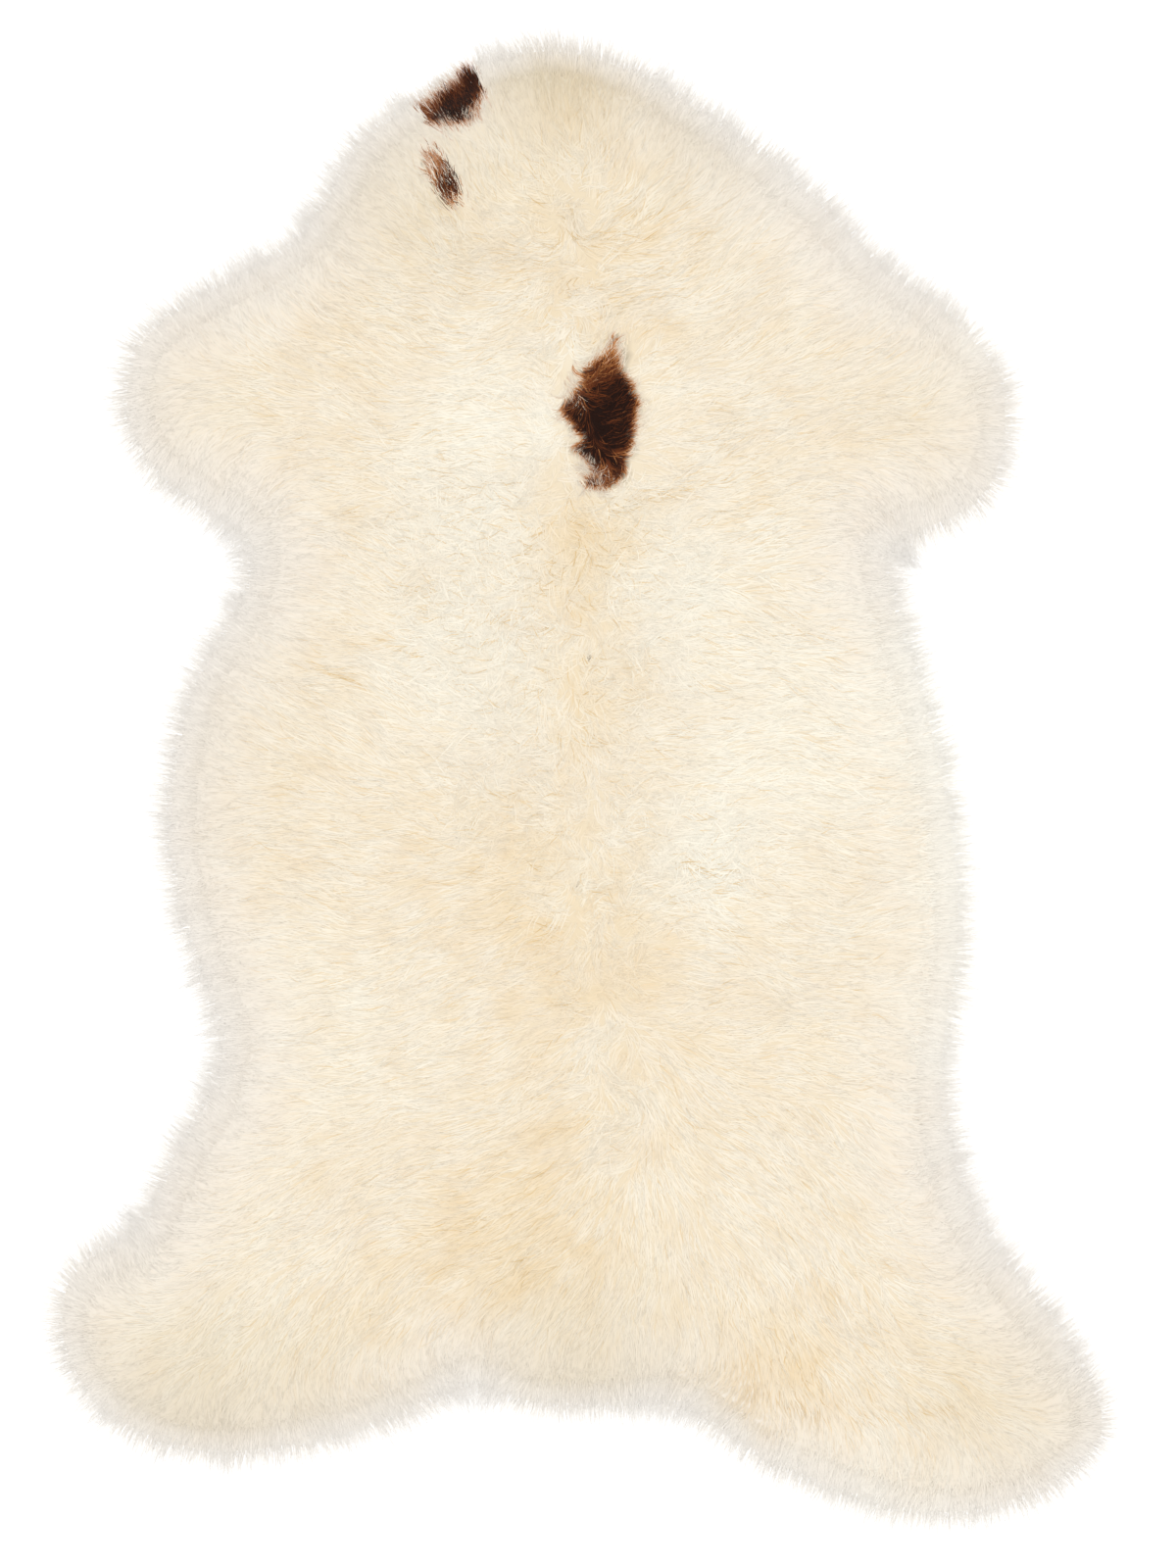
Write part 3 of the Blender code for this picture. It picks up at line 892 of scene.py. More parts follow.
@dataclass(frozen=True)
class HideFinish(Finish):
    """Skin side of a tanned hide: a pale suede nap, mottled by a cloud, with the skin's fine creases.

    The cloud, the nap and the creases are given by their scales, and the first two by their shares
    in the colour. The nap's height is a share of the creases' depth.
    """

    name: str = "tanned_hide"
    roughness: float = 0.88
    specular: float = 0.18
    sheen: float = 0.25
    sheen_roughness: float = 0.45
    cloud: float = 14.0
    nap: float = 900.0
    cloud_share: float = 0.9
    nap_share: float = 0.25
    creases: float = 260.0
    crease_width: float = 0.25
    crease_height: float = 0.35 * MM
    nap_height: float = 0.6
    relief: float = 0.6

    def paint(self, bench: NodeBench) -> None:
        """Mottle the skin, crease it and raise its nap.

        Args:
            bench: where the material is made.
        """
        cloud = bench.reckon("MULTIPLY", bench.grain(self.cloud, 4.0), self.cloud_share)
        nap = bench.grain(self.nap, 3.0, 0.7)
        share = bench.reckon("ADD", cloud, bench.reckon("MULTIPLY", nap, self.nap_share), clamp=True)
        bench.put(bench.shader["Base Color"], bench.blend(share, Shade.SUEDE_DARK, Shade.SUEDE))
        crease = bench.add("ShaderNodeTexVoronoi", feature="DISTANCE_TO_EDGE")
        bench.put(crease.inputs["Vector"], bench.add("ShaderNodeTexCoord").outputs["Object"])
        bench.put(crease.inputs["Scale"], self.creases)
        rise = bench.reckon("MINIMUM", crease.outputs["Distance"], self.crease_width)
        bump = bench.add("ShaderNodeBump")
        height = bench.reckon("ADD", rise, bench.reckon("MULTIPLY", nap, self.nap_height))
        bench.put(bump.inputs["Height"], height)
        bench.put(bump.inputs["Distance"], self.crease_height)
        bench.put(bump.inputs["Strength"], self.relief)
        bench.put(bench.shader["Normal"], bump.outputs["Normal"])


@dataclass(frozen=True)
class FloorFinish(Finish):
    """Plain pale floor."""

    name: str = "pale_floor"
    roughness: float = 0.9
    value: float = 0.95

    def paint(self, bench: NodeBench) -> None:
        """Give the floor one even grey."""
        bench.put(bench.shader["Base Color"], (self.value, self.value, self.value, 1.0))


# ------------------------------------------------------------------ meshes
def packed_shape(node: str) -> bmesh.types.BMesh:
    """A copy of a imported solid, to measure or to work on."""
    shape = bmesh.new()
    shape.from_mesh(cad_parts[node].data)
    return shape


def mesh_of(shape: bmesh.types.BMesh, name: str) -> bpy.types.Mesh:
    """The finished shape as a mesh."""
    mesh = bpy.data.meshes.new(name)
    shape.to_mesh(mesh)
    shape.free()
    return mesh


def keep_values(mesh: bpy.types.Mesh, name: str, values: Array) -> None:
    """Keep a value for each corner of the mesh under a name."""
    layer = mesh.attributes.new(name, "FLOAT", "POINT")
    layer.data.foreach_set("value", values.astype(np.float32).ravel())


def placed(name: str, data: bpy.types.ID) -> Object:
    """An object in the scene, of that mesh, light or camera."""
    thing = bpy.data.objects.new(name, data)
    bpy.context.scene.collection.objects.link(thing)
    return thing


def dress(piece: Object, material: Material) -> None:
    """Give a piece its material and the body that it rides on.

    Args:
        piece: the piece.
        material: its finish.
    """
    piece.data.materials.clear()
    piece.data.materials.append(material)
    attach(piece, "root")


# ------------------------------------------------------------------ strands
@dataclass
class Strands:
    """Many strands of wool, with their widths and shades.

    The centre lines have the shape (strands, points, 3), and the widths, which are half widths, and
    each of the shades (strands, points). A strand is a low ridge of two sides that meet on top and is
    open below, where it lies on its neighbours. Its height is a share of its whole width, the
    flatness, and it leans to its side by its roll.
    """

    lines: Array
    widths: Array
    flatness: float
    shades: dict[str, Array]
    roll: Array

    SECTION = 3

    def chosen(self, which: Array) -> "Strands":
        """The strands for which the mask holds."""
        shades = {name: values[which] for name, values in self.shades.items()}
        return Strands(self.lines[which], self.widths[which], self.flatness, shades, self.roll[which])

    def triangle_count(self) -> int:
        """Triangles of the mesh that these strands make."""
        strands, points = self.widths.shape
        return strands * (4 * (points - 2) + 2)

    def _rings(self) -> Array:
        """Set out the corners of the strands' sections.

        Returns:
            Left, ridge and right of each section, of shape (strands, points - 1, 3, 3).
        """
        tangent = unit(np.gradient(self.lines, axis=1))
        level = unit(np.cross(tangent, (0.0, 0.0, 1.0)))
        upright = np.cross(level, tangent)
        c, s = np.cos(self.roll)[:, None, None], np.sin(self.roll)[:, None, None]
        side = c * level + s * upright
        over = c * upright - s * level
        half = self.widths[:, :, None]
        tall = 2.0 * self.flatness * half
        corners = (self.lines - half * side, self.lines + tall * over, self.lines + half * side)
        return np.stack(corners, axis=2)[:, :-1]

    def _faces(self) -> tuple[Array, Array]:
        """List the faces of one strand.

        Returns:
            Indices of the faces' corners in a row, and how many corners each face has.
        """
        rings = self.widths.shape[1] - 1
        faces: list[list[int]] = []
        for ring in range(rings):
            for left in range(self.SECTION - 1):
                near = ring * self.SECTION + left
                ahead = [near + 1 + self.SECTION, near + self.SECTION]
                faces.append([near, near + 1, *(ahead if ring < rings - 1 else [rings * self.SECTION])])
        return np.concatenate(faces), np.array([len(face) for face in faces])

    def mesh(self, name: str, origin: Array, span: Array) -> bpy.types.Mesh:
        """Make one mesh of all the strands.

        Args:
            name: name of the mesh.
            origin: corner of the area that its flat map covers.
            span: width and length of that area.

        Returns:
            The mesh, with the shades as values on its vertices.
        """
        strands = len(self.lines)
        rings = self._rings().reshape(strands, -1, 3)
        vertices = np.concatenate((rings, self.lines[:, -1:, :]), axis=1)
        vertices[..., 2] = np.maximum(vertices[..., 2], 0.0)
        corners, sizes = self._faces()
        first = np.arange(strands)[:, None] * vertices.shape[1]
        loops = (first + corners[None, :]).ravel().astype(np.int32)
        starts = np.concatenate(([0], np.cumsum(np.tile(sizes, strands))[:-1])).astype(np.int32)

        mesh = bpy.data.meshes.new(name)
        mesh.vertices.add(vertices.shape[0] * vertices.shape[1])
        mesh.vertices.foreach_set("co", vertices.astype(np.float32).ravel())
        mesh.loops.add(len(loops))
        mesh.loops.foreach_set("vertex_index", loops)
        mesh.polygons.add(len(starts))
        mesh.polygons.foreach_set("loop_start", starts)
        mesh.update(calc_edges=True)
        mesh.shade_smooth()

        for shade, values in self.shades.items():
            body = np.repeat(values[:, :-1], self.SECTION, axis=1)
            keep_values(mesh, shade, np.concatenate((body, values[:, -1:]), axis=1))
        flat = (vertices.reshape(-1, 3)[loops, :2] - origin) / span
        mesh.uv_layers.new(name="OFBake").data.foreach_set("uv", flat.astype(np.float32).ravel())
        return mesh


@dataclass(frozen=True)
class Growth:
    """How one kind of wool grows.

    The roots stay between two depths inside the slab's wall. The width is half a strand's, and the
    higher the taper, the later it narrows. A lock's strands draw together at their tips by the
    gather. The overhang is how far the tips run past the wall: least, commonest and most. A lock
    turns by the curl over its length, and points to the side by the stray, each smooth and tangled.
    The middle of a strand rises over the pile by the lift. Where the wool is less tangled than the
    least tangle, this kind grows only along the back.
    """

    seed: int
    root_spacing: float
    lock_spacing: float
    depths: Pair
    length: float
    points: int
    width: float
    taper: float
    gather: float
    overhang: tuple[float, float, float]
    curl: Pair
    stray: Pair
    root_sink: float
    lift: float = 0.0
    flatness: float = 0.08
    least_tangle: float = 0.0


@dataclass(frozen=True)
class Tint:
    """What one share of the wool's colour is made up of.

    That is an even part, what the marked places add, how far it differs from lock to lock and from
    strand to strand, and how it drifts over the rug.
    """

    even: float
    marked: float
    lock: float
    strand: float
    drift: Drift

    def at(self, marks: Array, lock: Array, strand: Array, root: Array) -> Array:
        """Add up the share.

        Args:
            marks: how strongly each point is marked.
            lock: how each strand's lock differs.
            strand: how each strand differs.
            root: where each strand is rooted.

        Returns:
            The share at each point.
        """
        own = self.lock * lock + self.strand * strand
        return self.even + self.marked * marks + own + self.drift.at(root)


def for_strands(values: Array, own: Array) -> Array:
    """The locks' values, given to all their strands, as a column."""
    return values[own][:, None]


def clipped(shades: dict[str, Array]) -> dict[str, Array]:
    """The shades, kept between 0 and 1."""
    return {name: np.clip(values, 0.0, 1.0) for name, values in shades.items()}


@dataclass(frozen=True)
class Fleece:
    """Wool grown over the relief, strand by strand, gathered in locks."""

    relief: Relief
    lie: Lie
    markings: Markings
    # A strand in its lock: how far it rises over its neighbours, leans and points past the lock's
    # way, its share of the lock's length and of the usual width, its root's share of the widest
    # width, the share of its length over which it widens and begins to wave, and how late it bends.
    proud: float = 0.15 * MM
    strand_rise: Pair = (-0.5, 1.0)
    lean: float = 0.05
    swing: float = math.radians(6.0)
    strand_length: Pair = (0.80, 1.05)
    strand_width: Pair = (0.7, 1.3)
    root_width: float = 0.7
    start: float = 1.0 / 3.0
    late_bend: float = 1.3
    # The crimp of a lock's strands: its size and its share of that, its waves, and how far they
    # are out of step.
    crimp: float = 0.5 * MM
    crimp_size: Pair = (0.3, 1.6)
    crimp_waves: Pair = (0.7, 1.6)
    out_of_step: float = 0.5
    # A lock beside the next: its step up or down, how far it bulges, its share of the growth's
    # length, how far that differs, which it does in full from a certain gather on, and its gather.
    lock_step: float = 0.10 * MM
    lock_bulge: Pair = (-0.4, 1.2)
    lock_length: float = 0.96
    uneven: float = 0.16
    full_gather: float = 0.30
    gathers: Pair = (0.5, 1.4)
    most_gather: float = 0.95
    # At the rim: the share of its length that a strand keeps, its clearance over the floor, the
    # depths between which strands come to lie in layers, and the lowest layer's share of the
    # highest. A low pile lies smoother, down to the least roughness.
    least_room: float = 0.12
    floor_clearance: float = 0.4 * MM
    wall_band: Pair = mm(-7, 3)
    lowest_layer: float = 0.92
    low_pile: float = 20.0 * MM
    least_rough: float = 0.15
    # On the back: the strip in which every kind of wool grows, the share of the strands whose tips
    # stand up from the rest, how far they do at most, and what share of that they do at least.
    back_strip: float = 22.0 * MM
    standing: float = 0.14
    stand_height: float = 3.5 * MM
    least_stand: float = 0.2
    # Colours: wool sunk in the pile gets painted shade, warmer and less pale; warm wool is less pale
    # and has less of the rim's painted shade. The marks fade out over the free tips. The rim's painted
    # shade, its greyer tone, is cut back and the rim painted paler where painted light falls on it, and
    # thin wool is painted white as painted light, on the free tips and over the slab's wall.
    warm: Tint = Tint(even=0.04, marked=0.60, lock=0.03, strand=0.02, drift=Drift(0.011, 41, 0.19))
    pale: Tint = Tint(even=0.30, marked=0.65, lock=0.07, strand=0.03, drift=Drift(0.015, 42, 0.32))
    sunk_shade_band: Pair = mm(0.2, 2.4)
    sunk_shade_wall: float = 14.0 * MM
    sunk_shade_warm: float = 0.12
    sunk_shade_pale: float = 0.3
    warm_pale: float = 0.25
    warm_rim_shade: float = 0.45
    root_pale: float = 0.85
    tips_band: Pair = mm(-14, 8)
    lock_rim_shade: float = 0.02
    lock_fawn: float = 0.08
    least_rim_shade: float = 0.02
    rim_shade_strength: float = 0.80
    rim_light: float = 0.9
    painted_light_pale: float = 0.7
    thin_tips: Pair = mm(-51, 8)
    wall_light: float = 0.26
    wall_width: float = 11.0 * MM

    def scattered(self, growth: Growth) -> Array:
        """Places where one kind of wool could be rooted."""
        roots = self.relief.inner_points(growth.root_spacing, growth.depths[0], growth.seed + 2)
        return roots[self.relief.depth(roots) < growth.depths[1]]

    def plant(self, growth: Growth) -> Array:
        """Roots of one kind of wool."""
        roots = self.scattered(growth)
        near_back = self.lie.base(roots)[1] < self.back_strip
        return roots[near_back | (self.lie.tangled(roots) >= growth.least_tangle)]

    def lock_paths(self, centres: Array, growth: Growth, rng: Generator) -> Array:
        """Lay the paths of the locks, seen from above.

        Args:
            centres: where the locks are rooted.
            growth: how they grow.
            rng: source of the variation.

        Returns:
            Array of shape (locks, points, 2).
        """
        tangled = self.lie.tangled(centres)
        stray, curl = ((smooth + (rough - smooth) * tangled) * rng.normal(0.0, 1.0, len(centres))
                       for smooth, rough in (growth.stray, growth.curl))
        steps = growth.points - 1
        path = [centres]
        for index in range(steps):
            angle = stray + curl * (index + 0.5) / steps
            path.append(path[-1] + turned(self.lie.direction(path[-1]), angle) * (growth.length / steps))
        return np.stack(path, axis=1)

    def _along(self, path: Array, share: Array) -> Array:
        """Find places along the paths.

        Args:
            path: one path for each strand.
            share: shares of a path's length, of shape (strands, points).

        Returns:
            The places at the shares, of shape (strands, points, 2).
        """
        steps = path.shape[1] - 1
        place = share * steps
        low = np.clip(place.astype(int), 0, steps - 1)
        part = (place - low)[..., None]
        rows = np.arange(len(path))[:, None]
        return path[rows, low] * (1.0 - part) + path[rows, low + 1] * part

    def _room(self, path: Array, overhang: Array) -> Array:
        """Measure how much of each path may be used.

        Args:
            path: one path for each strand.
            overhang: how far each strand may run past the slab's wall.

        Returns:
            Share of each path that stays within its overhang.
        """
        steps = path.shape[1] - 1
        spare = self.relief.depth(path) + overhang[:, None]
        out = spare < 0.0
        first = np.maximum(np.where(out.any(axis=1), out.argmax(axis=1), steps), 1)
        rows = np.arange(len(path))
        before, after = spare[rows, first - 1], spare[rows, first]
        part = np.where(after < 0.0, before / np.maximum(before - after, 1e-9), 1.0)
        return np.clip((first - 1 + part) / steps, self.least_room, 1.0)

    def grow(self, growth: Growth) -> Strands:
        """Grow one kind of wool over the whole rug.

        Args:
            growth: how it grows.

        Returns:
            Its strands.
        """
        rng = np.random.default_rng(growth.seed)
        centres = self.relief.inner_points(growth.lock_spacing, growth.depths[0], growth.seed + 1)
        roots = self.plant(growth)
        tree = search_tree(centres)
        own = np.array([tree.find((x, y, 0.0))[1] for x, y in roots])
        locks, count = len(centres), len(roots)
        paths = self.lock_paths(centres, growth, rng)
        gather = np.clip(growth.gather * rng.uniform(*self.gathers, locks), 0.0, self.most_gather)

        middle = centres[own]
        swing = rng.normal(0.0, self.swing, count)
        run = turned(paths[own] - middle[:, None, :], swing[:, None])
        room = self._room(roots[:, None, :] + run, rng.triangular(*growth.overhang, count))
        uneven = self.uneven * min(growth.gather / self.full_gather, 1.0)
        length = self.lock_length + uneven * rng.uniform(-1.0, 1.0, locks)[own]
        length = length * rng.uniform(*self.strand_length, count)
        share = np.linspace(0.0, 1.0, growth.points)
        along = share[None, :] * np.clip(np.minimum(length, room), 0.0, 1.0)[:, None]
        closing = 1.0 - for_strands(gather, own) * along ** self.late_bend
        plane = middle[:, None, :] + self._along(run, along)
        plane = plane + (roots - middle)[:, None, :] * closing[..., None]
        plane = self._waved(plane, share, own, locks, rng)

        height = np.maximum(self._heights(plane, share, own, growth, rng), self.floor_clearance)
        lines = np.concatenate((plane, height[..., None]), axis=-1)
        widening = self.root_width + (1.0 - self.root_width) * np.minimum(share / self.start, 1.0)
        taper = np.clip(1.04 - share ** growth.taper, 0.0, 1.0) * widening
        widths = growth.width * rng.uniform(*self.strand_width, (count, 1)) * taper
        widths[:, -1] = 0.0
        shades = self._shades(lines, share, own, rng)
        return Strands(lines, widths, growth.flatness, shades, rng.normal(0.0, self.lean, count))

    def _waved(self, plane: Array, share: Array, own: Array, locks: int, rng: Generator) -> Array:
        """Give the strands the crimp of the wool, which a lock's strands share.

        Args:
            plane: the strands' points, seen from above.
            share: how far along the strand each of its points is.
            own: index of each strand's lock.
            locks: how many locks there are.
            rng: source of the variation.

        Returns:
            The points, moved to the side.
        """
        heading = unit(plane[:, -1] - plane[:, 0])
        across = np.stack((-heading[:, 1], heading[:, 0]), axis=-1)
        phase = rng.uniform(0.0, 2.0 * math.pi, locks)[own]
        phase = phase + rng.normal(0.0, self.out_of_step, len(plane))
        turns = for_strands(rng.uniform(*self.crimp_waves, locks), own)
        size = for_strands(self.crimp * rng.uniform(*self.crimp_size, locks), own)
        wave = size * np.sin(2.0 * math.pi * turns * share + phase[:, None])
        return plane + across[:, None, :] * (wave * np.minimum(share / self.start, 1.0))[..., None]

    def _heights(self, plane: Array, share: Array, own: Array, growth: Growth, rng: Generator) -> Array:
        """Raise the strands from their roots and over the neighbours ahead.

        Args:
            plane: the strands' points, seen from above.
            share: how far along the strand each of its points is.
            own: index of each strand's lock.
            growth: how they grow.
            rng: source of the variation.

        Returns:
            Heights of the points.
        """
        count, locks = len(plane), own.max() + 1
        top = self.relief.height(plane)
        inside = smooth_step(*self.wall_band, self.relief.depth(plane))
        layer = rng.uniform(self.lowest_layer, 1.0, (count, 1))
        top = top * (inside + (1.0 - inside) * layer)
        arch = np.sin(math.pi * share ** self.late_bend)
        bulge = self.proud * for_strands(rng.uniform(*self.lock_bulge, locks), own) * arch
        rise = self.proud * rng.uniform(*self.strand_rise, (count, 1)) * share + growth.lift * arch
        step = self.lock_step * for_strands(rng.uniform(-1.0, 1.0, locks), own)
        stands = self.stand_height * rng.uniform(self.least_stand, 1.0, (count, 1))
        stands = stands * (rng.uniform(0.0, 1.0, (count, 1)) < self.standing)
        low = np.clip(top / self.low_pile, self.least_rough, 1.0)
        sink = np.minimum(growth.root_sink, np.maximum(top - self.floor_clearance, 0.0))
        return top - sink * (1.0 - share) ** 2 + (bulge + rise + step + stands * share ** 2) * low

    def _rim_shade(self, plane: Array) -> Array:
        """How much of the rim's painted shade, its greyer tone, each point has, cut back where painted
        light falls.
        """
        light = self.rim_light * self.markings.rim_painted_light(plane)
        return self.rim_shade_strength * self.relief.rim(plane) * (1.0 - light)

    def _wall_light(self, plane: Array) -> Array:
        """Painted light: white painted on the thin wool over the slab's wall where painted light falls on
        the rim.
        """
        near = np.exp(-(self.relief.depth(plane) / self.wall_width) ** 2)
        return self.wall_light * self.markings.rim_painted_light(plane) * near

    def _shades(self, lines: Array, share: Array, own: Array, rng: Generator) -> dict[str, Array]:
        """Find the shares of the colours at each point of the strands.

        Args:
            lines: the strands' points.
            share: how far along the strand each of its points is.
            own: index of each strand's lock.
            rng: source of the variation.

        Returns:
            The named shares.
        """
        count, locks = len(lines), own.max() + 1
        plane = lines[..., :2]
        lock_tone, lock_pale = (for_strands(rng.normal(0.0, 1.0, locks), own) for _ in range(2))
        strand_tone = rng.normal(0.0, 1.0, (count, 1))
        depth = self.relief.depth(plane)
        # painted shade: wool sunk below the pile's top is painted warmer and less pale
        sunk_shade = smooth_step(*self.sunk_shade_band, self.relief.height(plane) - lines[..., 2])
        sunk_shade = sunk_shade * smooth_step(0.0, self.sunk_shade_wall, depth)
        inside = smooth_step(*self.tips_band, depth)
        root = plane[:, :1]
        warm = spots_at(self.markings.warm, plane) * inside
        pale = self.pale.at(spots_at(self.markings.pale, plane), lock_pale, strand_tone, root)
        pale = pale * (1.0 - self.warm_pale * warm)
        # painted light: the rim is painted paler where light falls on it
        light = self.painted_light_pale * spots_at(self.markings.painted_light_rim, plane)
        pale = (pale + light * self.relief.rim(plane)) * (1.0 - self.sunk_shade_pale * sunk_shade)
        # the rim's painted shade: a greyer tone where the wool turns down, less on warm wool
        pearl = self.least_rim_shade + self._rim_shade(plane) * (1.0 - self.warm_rim_shade * warm)
        dull = spots_at(self.markings.dull, plane) * inside
        return clipped({
            "warmth": self.warm.at(warm, lock_tone, strand_tone, root) + self.sunk_shade_warm * sunk_shade,
            "pale": pale * (self.root_pale + (1.0 - self.root_pale) * share[None, :]),
            "pearl": pearl + self.lock_rim_shade * lock_tone,
            "fawn": dull * (1.0 + self.lock_fawn * lock_tone),
            # painted light: thin wool painted white on the free tips and over the slab's wall
            "snow": 1.0 - smooth_step(*self.thin_tips, depth) + self._wall_light(plane),
        })


@dataclass(frozen=True)
class ShadowStreaks(Fleece):
    """Painted shadow: fine warm lines where the wool parts and shade lies between locks, in named
    places and thinly over the rest.

    The thin chance and the tone are those away from the named places, which add to both. The lines
    fade in with their depth inside the wall.
    """

    thin: float = 0.07
    likely: float = 0.30
    tone: float = 0.36
    full_tone: float = 0.40
    uneven_tone: float = 0.10
    less_rim_shade: float = 0.4
    fade_in: float = 40.0 * MM
    seed: int = 31

    def plant(self, growth: Growth) -> Array:
        """Choose the roots of the lines.

        Args:
            growth: how they grow.

        Returns:
            The roots.
        """
        roots = super().plant(growth)
        parted = self.markings.parted(roots + self.lie.direction(roots) * growth.length * 0.5)
        chance = self.thin + self.likely * spots_at(self.markings.shadow_streaked, roots) + parted
        return roots[np.random.default_rng(self.seed).uniform(0.0, 1.0, len(roots)) < chance]

    def _shades(self, lines: Array, share: Array, own: Array, rng: Generator) -> dict[str, Array]:
        """Find the colours' shares: painted shadow, warmer than the wool round them and never pale.

        Args:
            lines, share, own, rng: as for the plain wool.

        Returns:
            The named shares.
        """
        shades = super()._shades(lines, share, own, rng)
        plane = lines[..., :2]
        shadow_streaked = spots_at(self.markings.shadow_streaked, plane) + self.markings.parted(plane)
        tone = self.tone + self.full_tone * np.clip(shadow_streaked, 0.0, 1.0)
        tone = tone + rng.normal(0.0, self.uneven_tone, (len(lines), 1))
        fall = np.sqrt(np.maximum(np.sin(math.pi * share), 0.0))
        fall = fall * smooth_step(0.0, self.fade_in, self.relief.depth(plane))
        shades["warmth"] = np.clip(shades["warmth"] + tone * fall, 0.0, 1.0)
        shades["pale"] = shades["pale"] * (1.0 - fall)
        shades["pearl"] = shades["pearl"] * (1.0 - self.less_rim_shade * fall)
        return shades


@dataclass(frozen=True)
class BrownWool(Fleece):
    """Brown wool of the natural patches, shorter to the eye than the cream wool round it.

    The sun has bleached its tips, and some of its hairs are lighter. White hairs are among the
    grey ones, which are a little hazy, and bleached wool takes the rim's painted shade as cream wool
    does. The strands stray at a patch's edge, and grow from a little inside it. Its colours reach
    past its edge by so many times its fade. Strands are looked at between their points too.
    """

    patches: tuple[BrownPatch, ...] = BROWN_PATCHES
    proud: float = 0.7 * MM
    lean: float = 0.20
    tip_bleach: float = 0.16
    light_hairs: float = 0.14
    lighter: float = 0.28
    lock_bleach: float = 0.06
    strand_bleach: float = 0.05
    white_hair: float = 0.80
    grey_haze: float = 0.10
    rim_shade_bleach: Pair = (0.55, 1.0)
    astray: float = 0.5
    past_fade: float = 4.0
    inset: float = 0.3
    between: tuple[float, ...] = (0.25, 0.50, 0.75)

    def plant(self, growth: Growth) -> Array:
        """Choose the roots of the strands that cross a patch.

        Args:
            growth: how they grow.

        Returns:
            The roots.
        """
        roots = self.scattered(growth)
        way = self.lie.direction(roots) * growth.length
        rng = np.random.default_rng(growth.seed + 3)
        ragged = rng.normal(0.0, self.astray, len(roots))
        grown = np.zeros(len(roots), bool)
        for patch in self.patches:
            for share in self.between:
                grown |= patch.depth(roots + share * way) > patch.ragged * (ragged + self.inset)
        return roots[grown]

    def spare(self, wool: Strands, seed: int) -> Array:
        """Tell which of the cream strands stay clear of the patches.

        Args:
            wool: the cream strands.
            seed: seed of the choice.

        Returns:
            A mask of those that stay clear, and of a few that grow through.
        """
        corners = wool.lines[..., :2]
        middles = [corners[:, :-1] * (1.0 - part) + corners[:, 1:] * part for part in self.between]
        plane = np.concatenate([corners, *middles], axis=1)
        rng = np.random.default_rng(seed)
        kept = np.ones(len(plane), bool)
        for patch in self.patches:
            ragged = patch.ragged * rng.uniform(0.0, 1.0, len(plane))
            clear = (patch.depth(plane) < ragged[:, None]).all(axis=1)
            kept &= clear | (rng.uniform(0.0, 1.0, len(plane)) < patch.mixed)
        return kept

    def _shades(self, lines: Array, share: Array, own: Array, rng: Generator) -> dict[str, Array]:
        """Find the bleached, grey and pearly shares of the colour.

        Args:
            lines, share, own, rng: as for the plain wool.

        Returns:
            The named shares.
        """
        plane = lines[..., :2]
        count, locks = len(lines), own.max() + 1
        bleach = np.ones(plane.shape[:-1])
        grey = np.zeros(plane.shape[:-1])
        stray = rng.normal(0.0, self.astray, (count, 1))
        for patch in self.patches:
            here = patch.depth(plane) + patch.ragged * stray
            near = here > -self.past_fade * patch.fade
            edge = 1.0 - smooth_step(-patch.fade, patch.bleach, here)
            shade = edge + spots_at(patch.light, plane) * (1.0 - edge)
            bleach = np.where(near, np.minimum(bleach, shade), bleach)
            grey = np.where(near, np.maximum(grey, spots_at(patch.grey, plane)), grey)
        lock_tone = for_strands(rng.normal(0.0, self.lock_bleach, locks), own)
        strand_tone = rng.normal(0.0, self.strand_bleach, (count, 1))
        light = self.lighter * (rng.uniform(0.0, 1.0, (count, 1)) < self.light_hairs)
        white = rng.uniform(0.0, 1.0, (count, 1)) < grey
        bleach = bleach + self.tip_bleach * share[None, :] ** 3 + lock_tone + strand_tone + light
        return clipped({
            "bleach": bleach,
            "grey": self.white_hair * white + self.grey_haze * grey,
            "pearl": self._rim_shade(plane) * smooth_step(*self.rim_shade_bleach, bleach),
        })


